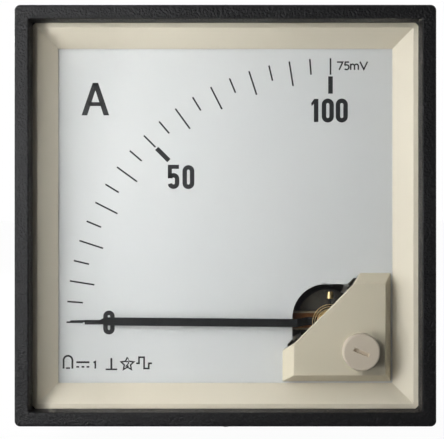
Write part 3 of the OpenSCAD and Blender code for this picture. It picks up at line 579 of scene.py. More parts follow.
def show_mix(desk: NodeDesk, share: object, first: bpy.types.Node, second: bpy.types.Node) -> None:
    """Shows a mix of two shaders as the surface of a material."""
    mix = desk.fed("ShaderNodeMixShader", {0: share, 1: first.outputs[0], 2: second.outputs[0]})
    desk.feed(desk.tree.nodes["Material Output"].inputs["Surface"], mix.outputs[0])


@dataclass(frozen=True)
class Finish:
    """What every finish shares: a name, a colour and how light leaves it."""

    name: str
    colour: Colour
    shade: Colour
    roughness: float = 0.5
    spread: float = 0.2
    specular: float = 0.5
    metallic: float = 0.0
    bump: float = 0.2
    relief: float = 0.01

    def surface(self, desk: NodeDesk) -> bpy.types.Node:
        """The group node that gives this finish its colour, roughness and height."""
        raise NotImplementedError

    @cache
    def material(self) -> bpy.types.Material:
        """The finish as a material, built once."""
        made, desk, shader = new_material(self.name, self.colour)
        group = self.surface(desk)
        bump = desk.fed(
            "ShaderNodeBump",
            {
                "Strength": self.bump, "Distance": self.relief * MM,
                "Height": group.outputs["Height"],
            },
        )
        desk.feed_all(
            shader,
            {
                "Base Color": group.outputs["Colour"],
                "Roughness": group.outputs["Roughness"],
                "Metallic": self.metallic,
                "Specular IOR Level": self.specular,
                "Normal": bump.outputs["Normal"],
            },
        )
        return made


@dataclass(frozen=True)
class Moulded(Finish):
    """A moulded or painted surface with grain."""

    grain: float = 1500.0
    drift_scale: float = 40.0
    drift: float = 0.4
    # Share of the second tone painted into the grain as glints.
    painted_glint: float = 0.0

    def surface(self, desk: NodeDesk) -> bpy.types.Node:
        """The moulded surface group with this finish's values."""
        inputs = {
            "Colour": opaque(self.colour), "Shade": opaque(self.shade),
            "Grain Scale": self.grain, "Drift Scale": self.drift_scale, "Drift": self.drift,
            "Roughness": self.roughness, "Spread": self.spread, "Painted Glint": self.painted_glint,
        }
        return desk.fed("ShaderNodeGroup", inputs, node_tree=MOULDED_SURFACE)


@dataclass(frozen=True)
class Metal(Finish):
    """A worked metal with streaks and tarnish."""

    metallic: float = 1.0
    streaks: float = 2500.0
    stretch: float = 0.05
    cloud_scale: float = 260.0
    cloud: float = 0.5

    def surface(self, desk: NodeDesk) -> bpy.types.Node:
        """The worked metal group with this finish's values."""
        inputs = {
            "Colour": opaque(self.colour), "Tarnish": opaque(self.shade),
            "Streak Scale": self.streaks, "Stretch": self.stretch,
            "Cloud Scale": self.cloud_scale, "Cloud": self.cloud,
            "Roughness": self.roughness, "Spread": self.spread,
        }
        return desk.fed("ShaderNodeGroup", inputs, node_tree=WORKED_METAL)


@dataclass(frozen=True)
class Clear:
    """Clear plastic or a jewel: a plain glass shader that lets lamps shine through."""

    name: str
    colour: Colour
    refraction: float = 1.49
    roughness: float = 0.0

    @cache
    def material(self) -> bpy.types.Material:
        """The finish as a material, built once."""
        made, desk, shader = new_material(self.name, self.colour)
        desk.feed_all(
            shader,
            {
                "Base Color": opaque(self.colour), "Roughness": self.roughness,
                "IOR": self.refraction, "Transmission Weight": 1.0,
            },
        )
        through = desk.fed("ShaderNodeBsdfTransparent", {"Color": opaque(self.colour)})
        path = desk.add("ShaderNodeLightPath")
        show_mix(desk, path.outputs["Is Shadow Ray"], shader, through)
        return made


# Painted glints: the bezel's lighter second tone is flecked into its grain to stand for light caught
# on the grain.
BEZEL_BLACK = Moulded(
    "grained_black", (0.010, 0.010, 0.0113), (0.045, 0.045, 0.048), 0.46, 0.6, 0.38,
    bump=1.0, relief=0.4, grain=1900.0, drift_scale=60.0, drift=0.1, painted_glint=0.38,
)
HOUSING_BLACK = Moulded(
    "moulded_black", (0.016, 0.016, 0.017), (0.028, 0.028, 0.029), 0.5, 0.25, 0.4,
    bump=0.5, relief=0.03, grain=1600.0, drift_scale=50.0, drift=0.5,
)
FRAME_CREAM = Moulded(
    "moulded_cream", (0.665, 0.61, 0.50), (0.625, 0.57, 0.46), 0.5, 0.12, 0.4,
    bump=0.12, relief=0.01, grain=1200.0, drift_scale=30.0, drift=0.5,
)
COVER_CREAM = Moulded(
    "cover_cream", (0.605, 0.55, 0.43), (0.57, 0.515, 0.395), 0.48, 0.12, 0.4,
    bump=0.12, relief=0.01, grain=1300.0, drift_scale=45.0, drift=0.5,
)
KNOB_CREAM = Moulded(
    "adjuster_cream", (0.85, 0.75, 0.605), (0.81, 0.71, 0.57), 0.42, 0.12, 0.45,
    bump=0.1, relief=0.01, grain=1500.0, drift_scale=90.0, drift=0.5,
)
DIAL_ENAMEL = Moulded(
    "dial_enamel", (0.675, 0.685, 0.685), (0.65, 0.665, 0.67), 0.6, 0.1, 0.25,
    bump=0.06, relief=0.005, grain=900.0, drift_scale=25.0, drift=0.6,
)
PRINT_INK = Moulded(
    "print_ink", (0.014, 0.014, 0.016), (0.022, 0.022, 0.024), 0.6, 0.1, 0.25,
    bump=0.1, relief=0.003, grain=3000.0, drift_scale=200.0,
)
POINTER_BLACK = Moulded(
    "pointer_black", (0.012, 0.0125, 0.0135), (0.02, 0.021, 0.022), 0.75, 0.12, 0.12,
    bump=0.12, relief=0.004, grain=2800.0, drift_scale=150.0,
)
RESIN_BOARD = Moulded("resin_board", (0.26, 0.13, 0.05), (0.18, 0.09, 0.035), 0.45, 0.2, grain=900.0)
RESISTOR_BODY = Moulded(
    "resistance_wire", (0.33, 0.22, 0.10), (0.16, 0.10, 0.05), 0.4, 0.3,
    bump=0.8, relief=0.06, grain=3200.0,
)
RED_SLEEVE, BLACK_SLEEVE, BLUE_SLEEVE = (
    Moulded(f"{name}_insulation", colour, shade, 0.4, grain=800.0)
    for name, colour, shade in (
        ("red", (0.42, 0.02, 0.015), (0.3, 0.015, 0.01)),
        ("black", (0.02, 0.02, 0.022), (0.035, 0.035, 0.037)),
        ("blue", (0.03, 0.06, 0.32), (0.02, 0.04, 0.22)),
    )
)
FIBRE = Moulded(
    "insulating_fibre", (0.5, 0.40, 0.25), (0.4, 0.31, 0.18), 0.7, grain=1800.0, bump=0.5
)
BRASS = Metal("nickelled_brass", (0.80, 0.64, 0.34), (0.48, 0.34, 0.14), 0.28, 0.25, bump=0.15)
STEEL = Metal("zinc_plated_steel", (0.66, 0.67, 0.68), (0.42, 0.43, 0.44), 0.3, 0.25, bump=0.15)
# Painted shade: the iron and the magnet are darkened to stand for the shade inside the movement seen
# through the notch.
SHADE_DARKENED_IRON = Metal("soft_iron", (0.16, 0.145, 0.12), (0.1, 0.085, 0.065), 0.45, 0.2)
SHADE_DARKENED_MAGNET = Metal(
    "shade_darkened_sintered_magnet", (0.10, 0.095, 0.085), (0.06, 0.055, 0.045), 0.6, 0.15, stretch=1.0
)
ZINC = Metal(
    "zinc_casting", (0.58, 0.58, 0.57), (0.4, 0.4, 0.39), 0.45, 0.2,
    bump=0.35, relief=0.03, streaks=900.0, stretch=1.0, cloud_scale=120.0,
)
# Painted shade: this casting colour is darkened to stand for the shade deep in the notch round the
# pivot.
SHADE_DARKENED_CASTING = replace(
    ZINC, name="shade_darkened_casting", colour=(0.10, 0.085, 0.06), shade=(0.05, 0.043, 0.03),
    roughness=0.5, metallic=0.6,
)
ALUMINIUM = Metal("lacquered_aluminium", (0.40, 0.33, 0.24), (0.26, 0.21, 0.15), 0.4)
BRONZE = Metal(
    "hairspring_bronze", (0.86, 0.64, 0.33), (0.6, 0.42, 0.2), 0.3, metallic=0.6, cloud=0.3
)
COPPER = Metal(
    "enamelled_copper", (0.50, 0.25, 0.09), (0.32, 0.14, 0.05), 0.3, 0.2, cloud_scale=500.0
)
TINNED = Metal("tinned_brass", (0.74, 0.73, 0.69), (0.5, 0.49, 0.46), 0.35)
WINDOW = Clear("clear_window", (0.99, 0.995, 0.99))
RUBY = Clear("ruby", (0.6, 0.03, 0.08), 1.77)


def dress(piece: bpy.types.Object, finish: Finish | Clear) -> None:
    """Gives every material slot of a piece one finish."""
    made = finish.material()
    if not piece.material_slots:
        piece.data.materials.append(made)
    for slot in piece.material_slots:
        slot.material = made


def place(
    piece: bpy.types.Object,
    body: Body,
    finish: Finish | Clear,
    slot: Slot | None = None,
    stands_for: Sequence[str] = (),
) -> None:
    """Dresses a new piece, lets it ride on a body, and hides what it stands for.

    Args:
        piece: The finished piece.
        body: The body that carries it.
        finish: Its finish.
        slot: Not used.
        stands_for: CAD nodes that the piece replaces.
    """
    dress(piece, finish)
    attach(piece, body.value)
    if stands_for:
        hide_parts(*stands_for)
    log.info("%s rides on %s, %d faces", piece.name, body.value, len(piece.data.polygons))


def dress_nodes(finish: Finish | Clear, *nodes: str) -> None:
    """Gives CAD nodes that keep their own shape a finish."""
    for node in nodes:
        dress(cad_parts[node], finish)
        log.info("%s is dressed in %s", node, finish.name)


# ---- front ---------------------------------------------------------------------------------


@dataclass
class FrontMouldings:
    """The bezel, the cream scale frame and the clear window."""

    bezel_half: float = 48.0
    opening_half: float = 44.7
    skirt_half: float = 46.7
    face: float = -8.0
    glass: float = -4.4
    flange: float = -1.6
    bezel_round: float = 0.75
    lip_round: float = 0.35
    back_round: float = 0.12
    skirt_round: float = 0.1
    step_round: float = 0.05
    outer_corner: float = 1.3
    least_corner: float = 0.2
    inner_corner: float = 0.35
    rim: float = -2.34
    shelf: float = -1.4
    dial: float = 2.2
    mouth_half: float = 43.9
    mask_half: float = 39.8
    rim_half: float = 45.1
    frame_wall: float = 1.2
    frame_step: float = 0.3
    frame_round: float = 0.1
    rim_round: float = 0.15
    mouth_round: float = 0.22
    mask_round: float = 0.12
    mask_lift: float = 0.22
    mitres: tuple[float, float, float] = (0.08, 0.12, 0.7)

    def bezel(self) -> bpy.types.Object:
        """An L section with a rounded front, carried round the square front."""
        section = rounded_outline(
            [
                (self.bezel_half, self.face, self.bezel_round),
                (self.bezel_half, self.flange, self.back_round),
                (self.skirt_half, self.flange, self.skirt_round),
                (self.skirt_half, self.glass, self.step_round),
                (self.opening_half, self.glass, self.step_round),
                (self.opening_half, self.face, self.lip_round),
            ]
        )
        half = section[:, 0]
        middle = (self.bezel_half + self.opening_half) / 2
        corner = np.where(
            half > middle,
            np.maximum(self.outer_corner - (self.bezel_half - half), self.least_corner),
            self.inner_corner + (half - self.opening_half),
        )
        solid = ClosedMesh()
        solid.add(square_ring(half, section[:, 1], corner), close_rows=True)
        return solid.piece("bezel_moulding")

    def scale_frame(self) -> bpy.types.Object:
        """A flat rim and a sloping mask round the dial, mitred at the corners."""
        lip = self.dial - self.mask_lift
        section = rounded_outline(
            [
                (self.rim_half, self.rim, self.rim_round),
                (self.mouth_half, self.rim, self.mouth_round),
                (self.mask_half, lip, self.mask_round),
                (self.mask_half + self.frame_wall, lip, self.frame_round),
                (self.mouth_half + self.frame_step, self.shelf, self.frame_round),
                (self.rim_half, self.shelf, self.frame_round),
            ],
            steps=4,
        )
        half = section[:, 0]
        steps = [self.mask_half, self.mouth_half, self.rim_half]
        corner = np.interp(half, steps, self.mitres)
        solid = ClosedMesh()
        solid.add(square_ring(half, section[:, 1], corner, spans=1), close_rows=True)
        return solid.piece("scale_mask", sharp=22.0)

    def build(self) -> None:
        """Makes and dresses the front's mouldings."""
        place(self.bezel(), Body.METER, BEZEL_BLACK, Slot.BEZEL, ["bezel"])
        place(self.scale_frame(), Body.METER, FRAME_CREAM, Slot.CREAM, ["scale_frame"])
        dress_nodes(WINDOW, "window")


class Mark(Enum):
    """The kinds of division on the scale, with the length of each line."""

    MINOR = 3.76
    MAJOR = 5.97
    NUMBERED = 3.95


@dataclass
class DialPrint:
    """The black print on the white dial: scale, numbers, unit and symbols."""

    pivot: tuple[float, float] = (25.2, -25.5)
    dial: float = 2.2
    ink: float = 0.02
    scale_radius: float = 63.3
    divisions: int = 20
    line: float = 0.39
    bar: float = 1.1
    bar_outer: float = 58.95
    bar_inner: float = 54.8
    figure_height: float = 5.75
    figure_width: float = 2.85
    figure_stroke: float = 1.08
    hundred_at: tuple[float, float] = (20.55, 22.38)
    fifty_at: tuple[float, float] = (-13.85, 6.42)
    zero_at: tuple[float, float] = (-29.3, -28.45)
    unit_at: tuple[float, float] = (-34.5, 24.1)
    unit_width: float = 6.65
    unit_height: float = 7.8
    rating_at: tuple[float, float] = (26.75, 35.0)
    rating_height: float = 2.05
    rating_pen: float = 0.35
    symbol_pen: float = 0.45
    solid: ClosedMesh = field(default_factory=ClosedMesh)

    def line_along(
        self, path: Array | Sequence[tuple[float, float]], width: float, closed: bool = False
    ) -> None:
        """Prints a stroke along a path."""
        self.solid.add(
            stroke(np.asarray(path, float), width, self.dial - self.ink, self.dial), closed
        )

    def patch(self, outline: Sequence[tuple[float, float]]) -> None:
        """Prints a filled outline."""
        self.solid.add_plate(np.array(outline, float), self.dial - self.ink, self.dial)

    def ray(self, angle: float, outer: float, inner: float, width: float) -> None:
        """Prints a line on a ray from the pivot, at an angle in degrees."""
        way = np.array([np.cos(np.radians(angle)), np.sin(np.radians(angle))])
        self.line_along(np.array(self.pivot) + np.outer([outer, inner], way), width)

    def scale(self) -> None:
        """Divisions on a quarter circle, every fifth numbered one with a bar under it."""
        step = 90.0 / self.divisions
        for number in range(self.divisions + 1):
            angle = 180.0 - step * number
            kind = Mark.MINOR if number % 2 else Mark.MAJOR
            if number % (self.divisions // 2) == 0:
                kind = Mark.NUMBERED
                self.ray(angle, self.bar_outer, self.bar_inner, self.bar)
            self.ray(angle, self.scale_radius, self.scale_radius - kind.value, self.line)

    def nought(self, x: float, z: float, width: float, height: float) -> None:
        """A figure 0 as a closed stroke with round ends, from its lower left corner."""
        w = self.figure_stroke
        r = (width - w) / 2
        cx, low, high = x + width / 2, z + w / 2 + r, z + height - w / 2 - r
        path = np.concatenate([arc((cx, high), r, 0, 180, 14), arc((cx, low), r, 180, 360, 14)])
        self.line_along(path, w, closed=True)

    def one(self, x: float, z: float, height: float) -> None:
        """A figure 1 with a short flag, from its lower left corner."""
        top, right = z + height, x + 1.74
        left = right - self.figure_stroke
        self.patch(
            [
                (right, top), (x + 0.72, top), (x, top - 1.02), (x + 0.13, top - 1.72),
                (left, top - 1.2), (left, z), (right, z),
            ]
        )

    def five(self, x: float, z: float, width: float, height: float) -> None:
        """A figure 5 of a bar, a stem and an open bowl, from its lower left corner."""
        w = self.figure_stroke
        r = (width - w) / 2
        top, stem = z + height - 0.44, x + w / 2 - 0.02
        self.line_along([(x + width - 0.08, top), (stem, top), (stem, z + 2.55)], w * 0.9)
        cx, high, low = x + width / 2, z + height - 3.33, z + w / 2 + r
        bowl = np.concatenate([arc((cx, high), r, 158, 0, 14), arc((cx, low), r, 0, -172, 14)])
        self.line_along(bowl, w)

    def unit(self, x: float, z: float, width: float, height: float) -> None:
        """The letter A for amperes, from its lower left corner."""
        foot, peak, overlap = 1.36, 0.66, 0.06
        low, high, into_leg = 0.285, 0.405, 0.6
        top, cx, lean = z + height, x + width / 2, peak - overlap
        for edge, side in ((x, 1), (x + width, -1)):
            self.patch(
                [
                    (edge, z), (edge + side * foot, z),
                    (cx + side * lean, top), (cx - side * peak, top),
                ]
            )
        reach = cx + lean - x - foot
        inset_low, inset_high = (reach * share + foot * into_leg for share in (low, high))
        self.patch(
            [
                (x + inset_low, z + height * low), (x + width - inset_low, z + height * low),
                (x + width - inset_high, z + height * high), (x + inset_high, z + height * high),
            ]
        )

    def rating(self, x: float, z: float) -> None:
        """The small rating 75mV in thin strokes, from its lower left corner."""
        pen = self.rating_pen
        h = self.rating_height - pen / 2
        self.line_along([(x, z + h), (x + 1.38, z + h), (x + 0.52, z)], pen)
        five = x + 1.72
        self.line_along([(five + 1.16, z + h), (five + 0.28, z + h), (five + 0.14, z + 1.12)], pen)
        self.line_along(arc((five + 0.56, z + 0.64), 0.58, 140, -140, 14), pen)
        em, r = x + 3.28, 0.46
        self.line_along([(em, z), (em, z + 1.5)], pen)
        for start in (em, em + 2 * r):
            hump = arc((start + r, z + 1.36 - r), r, 180, 0, 10)
            self.line_along(np.concatenate([hump, [(start + 2 * r, z)]]), pen)
        vee, rise = x + 5.52, z + h + 0.1
        self.line_along([(vee, rise), (vee + 0.9, z + 0.12), (vee + 1.8, rise)], pen)

    def symbols(self) -> None:
        """The row of instrument symbols: coil, direct current, class, upright, test, pulse."""
        pen = self.symbol_pen
        foot, low, mid, high = -36.62, -36.6, -35.36, -33.9
        coil = arc((-37.75, -34.62), 1.06, 180, 0, 14)
        magnet = np.concatenate([[(coil[0, 0], foot)], coil, [(coil[-1, 0], foot)]])
        dashes = (([(x, -36.2), (x + 0.68, -36.2)], 0.85) for x in (-35.75, -34.5, -33.3))
        for path, share in (
            (magnet, 1.0),
            ([(-38.25, -36.5), (-37.25, -36.5)], 0.8),
            ([(-35.75, -35.1), (-32.6, -35.1)], 1.0),
            *dashes,
            ([(-31.62, -35.2), (-31.2, -34.95), (-31.2, foot)], 0.85),
            ([(-27.35, -34.1), (-27.35, -36.72)], 1.0),
            ([(-28.72, -36.8), (-25.95, -36.8)], 0.85),
        ):
            self.line_along(path, pen * share)
        self.test_star((-23.5, -35.5), 1.62, 0.78, pen * 0.75)
        wave = [
            (-21.4, mid), (-20.72, mid), (-20.72, high), (-19.5, high),
            (-19.5, low), (-18.38, low), (-18.38, mid), (-17.6, mid),
        ]
        self.line_along(wave, pen * 0.9)

    def test_star(
        self, centre: tuple[float, float], outer: float, inner: float, pen: float
    ) -> None:
        """A five-pointed star with a small figure 2 in it."""
        t = np.radians(90 + 36 * np.arange(10))
        r = np.where(np.arange(10) % 2 == 0, outer, inner)
        star = np.stack([centre[0] + r * np.cos(t), centre[1] + r * np.sin(t)], axis=-1)
        self.line_along(star, pen, closed=True)
        bowl = arc((centre[0], centre[1] + 0.28), 0.3, 160, -30, 8)
        tail = [(centre[0] - 0.3, centre[1] - 0.52), (centre[0] + 0.34, centre[1] - 0.52)]
        self.line_along(np.concatenate([bowl, tail]), pen * 0.8)

    def build(self) -> None:
        """Prints the dial, and dresses the sheet under it."""
        height, width = self.figure_height, self.figure_width
        self.scale()
        x, z = self.hundred_at
        self.one(x, z + 0.12, height - 0.2)
        for step in (2.55, 5.9):
            self.nought(x + step, z, width + 0.05, height)
        x, z = self.fifty_at
        self.five(x, z + 0.03, width - 0.05, height)
        self.nought(x + 3.55, z, width, height)
        self.nought(*self.zero_at, width - 0.1, height)
        self.unit(*self.unit_at, self.unit_width, self.unit_height)
        self.rating(*self.rating_at)
        self.symbols()
        place(self.solid.piece("dial_print", sharp=20.0), Body.METER, PRINT_INK, Slot.BLACK)
        dress_nodes(DIAL_ENAMEL, "dial_plate")


@dataclass
class CornerFurniture:
    """The corner cover over the pivot and the zero adjuster in the window."""

    cover_round: float = 0.22
    knob_round: float = 0.12
    knob_shoulder: float = -6.0

    def build(self) -> None:
        """Makes and dresses the cover and the adjuster."""
        cover = soften(merged_copy("corner_cover", "pivot_cover"), self.cover_round, long_edges)
        place(cover, Body.METER, COVER_CREAM, Slot.COVER, ["corner_cover"])
        knob = soften(
            merged_copy("zero_adjuster", "zero_knob"), self.knob_round, self.on_the_slot
        )
        place(knob, Body.ADJUSTER, KNOB_CREAM, Slot.ADJUSTER, ["zero_adjuster"])
        dress_nodes(STEEL, "adjuster_retainer")
        dress_nodes(BRASS, "zero_lever")

    def on_the_slot(self, first: Array, second: Array) -> Array:
        """Edges that lie in the front face of the adjuster's head."""
        return np.maximum(first[:, 1], second[:, 1]) < self.knob_shoulder


@dataclass
class Movement:
    """The moving coil, its winding, springs, bearings and magnet."""

    pivot: tuple[float, float] = (25.2, -25.5)
    rest_angle: float = 179.5
    coil_half: float = 9.45
    coil_front: float = 4.75
    coil_back: float = 20.45
    depth: float = 1.1
    width: float = 3.6
    turns: int = 26
    path_points: int = 120
    steps_per_turn: int = 4
    corner_power: float = 0.16
    needle_round: float = 0.08

    def winding(self) -> bpy.types.Object:
        """Turns of wire side by side round the coil's former.

        The loop is a rectangle with rounded corners, |cos t| and |sin t| raised to a small
        power, and its outside stands proud by the wire's radius times |sin| of the turn.
        """
        t = np.linspace(0, 2 * np.pi, self.path_points, endpoint=False)
        cx, cy = (np.sign(v) * np.abs(v) ** self.corner_power for v in (np.cos(t), np.sin(t)))
        k = np.linspace(0, 1, self.turns * self.steps_per_turn + 1)
        wire = self.width / self.turns / 2
        proud = wire * (np.abs(np.sin(np.pi * k * self.turns)) - 1)
        across = np.concatenate([k, k[::-1]]) * self.width - self.width / 2
        out = np.concatenate([proud, np.full(len(k), -self.depth)])
        half_y = (self.coil_back - self.coil_front) / 2
        middle = (self.coil_back + self.coil_front) / 2
        along = cx[:, None] * (self.coil_half + out)
        y = middle + cy[:, None] * (half_y + out)
        side = np.broadcast_to(across, along.shape)
        turn = np.radians(self.rest_angle)
        x = self.pivot[0] + along * np.cos(turn) - side * np.sin(turn)
        z = self.pivot[1] + along * np.sin(turn) + side * np.cos(turn)
        solid = ClosedMesh()
        solid.add(np.stack([x, y, z], axis=-1), close_rows=True)
        return solid.piece("coil_turns", sharp=60.0)

    def build(self) -> None:
        """Makes the winding and dresses every part of the movement."""
        place(self.winding(), Body.MOVING, COPPER, Slot.COPPER, ["coil_winding"])
        needle = soften(merged_copy("pointer", "needle"), self.needle_round, segments=2)
        place(needle, Body.MOVING, POINTER_BLACK, Slot.BLACK, ["pointer"])
        dress_nodes(POINTER_BLACK, "pointer_hub")
        dress_nodes(ALUMINIUM, "coil_former")
        dress_nodes(FIBRE, "tag_insulator")
        # Painted shade: the front bridge wears the darkened casting colour for the shade in the
        # notch.
        dress_nodes(SHADE_DARKENED_CASTING, "front_bridge")
        # Painted shade: the magnet and the yoke wear colours darkened for the shade in the notch.
        dress_nodes(SHADE_DARKENED_MAGNET, "core_magnet")
        dress_nodes(SHADE_DARKENED_IRON, "iron_yoke")
        dress_nodes(ZINC, "rear_bridge", "core_spacers")
        dress_nodes(BRASS, "balance_weights", "rear_spring_tag", "movement_spacers")
        dress_nodes(STEEL, "movement_bolts", "movement_nuts")
        for end in ("front", "rear"):
            dress_nodes(STEEL, f"{end}_spindle")
            dress_nodes(BRONZE, f"{end}_hairspring")
            dress_nodes(BRASS, f"{end}_jewel_screw", f"{end}_lock_nut")
            dress_nodes(RUBY, f"{end}_jewel")


# ---- rear ----------------------------------------------------------------------------------


@dataclass(frozen=True)
class Thread:
    """A screw thread of a given crest radius and pitch."""

    crest: float
    pitch: float
    depth: float
    start: float
    end: float
    flank: float = 1.3
    flat: float = 0.12

    def grid(self, centre: tuple[float, float], profile: Array, spans: int = 48) -> Array:
        """A turned profile with a helical ridge cut into part of it.

        The ridge is a triangle wave of y / pitch - turn, with its crest and root cut flat, and
        it fades over one pitch at either end of the threaded length.

        Args:
            centre: X and Z of the axis.
            profile: Radius and Y along the piece.
            spans: Spans round the axis.

        Returns:
            Grid of points, profile by turn by three coordinates.
        """
        t = np.linspace(0, 2 * np.pi, spans, endpoint=False)
        y = profile[:, 1:]
        phase = (y / self.pitch - t / (2 * np.pi)) % 1.0
        ridge = np.clip((1 - np.abs(2 * phase - 1)) * self.flank - self.flat, 0, 1)
        fade = smooth_step(y, self.start, self.start + self.pitch)
        fade = fade * (1 - smooth_step(y, self.end - self.pitch * 0.5, self.end))
        radius = profile[:, :1] - np.maximum(self.depth * fade * (1 - ridge), 0)
        return around(centre, radius, y, t)


def along_axis(knots: Sequence[tuple[float, float]], step: float) -> Array:
    """Radius and Y at close, even steps along a profile given by its corners."""
    data = np.array(knots, float)
    y = np.arange(data[0, 1], data[-1, 1], step)
    y = np.unique(np.concatenate([y, data[:, 1]]))
    return np.stack([np.interp(y, data[:, 1], data[:, 0]), y], axis=-1)


def hexagon(flats: float, t: Array) -> Array:
    """Radius of a hexagon at an angle: half its flats over the cosine to the nearest flat."""
    return flats / 2 / np.cos((t % (np.pi / 3)) - np.pi / 6)


@dataclass
class Terminals:
    """Two brass terminal studs with their washers and nuts."""

    places: tuple[tuple[float, float], ...] = ((-18.0, 16.0), (18.0, 16.0))
    radius: float = 2.5
    pitch: float = 0.8
    depth: float = 0.42
    groove_depth: float = 0.35
    chamfer: float = 0.55
    countersink: float = 0.3
    bore_play: float = 0.02
    flats: float = 8.0
    hex_ends: tuple[float, ...] = (0.0, 0.1, 0.22, 0.36, 0.55)
    cone_share: float = 0.97
    cone_slope: float = 1.732
    spans: int = 72
    head: tuple[float, float] = (40.3, 43.3)
    groove: tuple[float, float] = (56.2, 56.8)
    end: float = 63.0
    nut: float = 4.0
    fixing_nut: float = 47.0
    terminal_nut: float = 52.0

    def stud(self, centre: tuple[float, float], name: str) -> bpy.types.Object:
        """A stud with a hexagon head inside, a thread, a groove and a chamfered end."""
        low, high = self.groove
        full, neck, wall = self.radius, self.radius - self.groove_depth, 0.02
        profile = along_axis(
            [
                (full, self.head[1] - 0.2), (full, low), (neck, low + wall), (neck, high - wall),
                (full, high), (full, self.end - self.chamfer), (full - self.chamfer, self.end),
            ],
            self.pitch / 8,
        )
        lower = Thread(self.radius, self.pitch, self.depth, self.head[1], low)
        upper = Thread(self.radius, self.pitch, self.depth, high, self.end + 0.5)
        split = profile[:, 1] < (low + high) / 2
        grid = lower.grid(centre, profile)
        grid[~split] = upper.grid(centre, profile)[~split]
        solid = ClosedMesh()
        solid.add(grid)
        solid.add(self.hex_bar(centre, *self.head))
        return solid.piece(name, sharp=48.0)

    def hex_bar(self, centre: tuple[float, float], low: float, high: float) -> Array:
        """A hexagon bar whose ends are chamfered by 30 degree cones."""
        t = np.linspace(0, 2 * np.pi, self.spans, endpoint=False)
        rows = np.array(self.hex_ends)
        y = np.concatenate([low + rows, high - rows[::-1]])[:, None]
        cone = self.flats / 2 * self.cone_share + np.minimum(y - low, high - y) * self.cone_slope
        return around(centre, np.minimum(hexagon(self.flats, t)[None, :], cone), y, t)

    def nut_ring(self, centre: tuple[float, float], low: float) -> Array:
        """A hexagon nut: the bar's outside, and a bore with a countersink at each end."""
        outside = self.hex_bar(centre, low, low + self.nut)
        mouth, bore = self.radius + self.countersink, self.radius + self.bore_play
        high = low + self.nut
        inside = [
            (mouth, high), (bore, high - self.countersink), (bore, low + self.countersink),
            (mouth, low),
        ]
        return np.concatenate([outside, lathe(np.array(inside), centre, self.spans)])

    def nuts(self, low: float, name: str) -> bpy.types.Object:
        """One nut on each stud."""
        solid = ClosedMesh()
        for centre in self.places:
            solid.add(self.nut_ring(centre, low), close_rows=True)
        return solid.piece(name, sharp=28.0)

    def build(self) -> None:
        """Makes and dresses the terminals."""
        for centre, node in zip(self.places, ("positive_stud", "negative_stud")):
            made = self.stud(centre, f"{node}_threaded")
            place(made, Body.METER, BRASS, Slot.BRASS, [node])
        for low, name in ((self.fixing_nut, "fixing_nut"), (self.terminal_nut, "terminal_nut")):
            place(self.nuts(low, f"{name}_pair"), Body.METER, BRASS, Slot.BRASS, [f"{name}s"])
        dress_nodes(BRASS, "stud_washers", "terminal_washers")


@dataclass
class Clamps:
    """The two mounting clamps, each a cast block and a slotted screw."""

    radius: float = 2.0
    pitch: float = 0.7
    depth: float = 0.36
    tip: float = 3.0
    point_drop: float = 0.8
    point_length: float = 1.7
    thread_start: float = 2.5
    thread_end: float = 46.4
    shoulder: float = 47.0
    head: float = 2.6
    head_radius: float = 3.5
    head_round: float = 0.35
    under_round: float = 0.12
    slot_depth: float = 1.2
    slot_width: float = 1.1
    axis: float = 49.58
    casting_round: float = 0.35

    def screw(self, side: int, name: str) -> bpy.types.Object:
        """A threaded screw with a slotted cheese head.

        Args:
            side: 1 for the top clamp, -1 for the bottom one.
            name: Name of the piece.

        Returns:
            The screw.
        """
        centre = (0.0, side * self.axis)
        shank = along_axis(
            [
                (self.radius - self.point_drop, self.tip),
                (self.radius, self.tip + self.point_length), (self.radius, self.shoulder + 0.1),
            ],
            self.pitch / 8,
        )
        thread = Thread(
            self.radius, self.pitch, self.depth, self.thread_start, self.thread_end
        )
        solid = ClosedMesh()
        solid.add(thread.grid(centre, shank))
        made = solid.piece(f"{name}_shank", sharp=48.0)
        top = self.shoulder + self.head
        cap = ClosedMesh()
        core = 0.001
        corners = [
            (core, self.shoulder, 0.0), (self.head_radius, self.shoulder, self.under_round),
            (self.head_radius, top, self.head_round), (core, top, 0.0),
        ]
        cap.add(lathe(rounded_outline(corners)[3:-3], centre, 72))
        head = cap.piece(name)
        tool = ClosedMesh()
        half, past = self.slot_width / 2, self.head_radius + 2.5
        ends = ((-past, -half), (past, -half), (past, half), (-past, half))
        outline = np.array([(x, centre[1] + z) for x, z in ends])
        tool.add_plate(outline, top - self.slot_depth, top + 2)
        cut_away(head, tool.piece("slot_tool"))
        return self.joined(head, made)

    @staticmethod
    def joined(first: bpy.types.Object, second: bpy.types.Object) -> bpy.types.Object:
        """Puts a second piece's mesh into the first, and removes the second."""
        shape = bmesh.new()
        shape.from_mesh(first.data)
        shape.from_mesh(second.data)
        shape.to_mesh(first.data)
        shape.free()
        bpy.data.objects.remove(second)
        first.data.set_sharp_from_angle(angle=np.radians(45))
        return first

    def build(self) -> None:
        """Makes and dresses both clamps."""
        for side, end in ((1, "top"), (-1, "bottom")):
            screw = self.screw(side, f"clamp_screw_{end}_threaded")
            place(screw, Body.METER, STEEL, Slot.STEEL, [f"clamp_screw_{end}"])
            casting = merged_copy(f"clamp_block_{end}", f"clamp_casting_{end}")
            block = soften(casting, self.casting_round, long_edges)
            place(block, Body.METER, ZINC, Slot.ZINC, [f"clamp_block_{end}"])


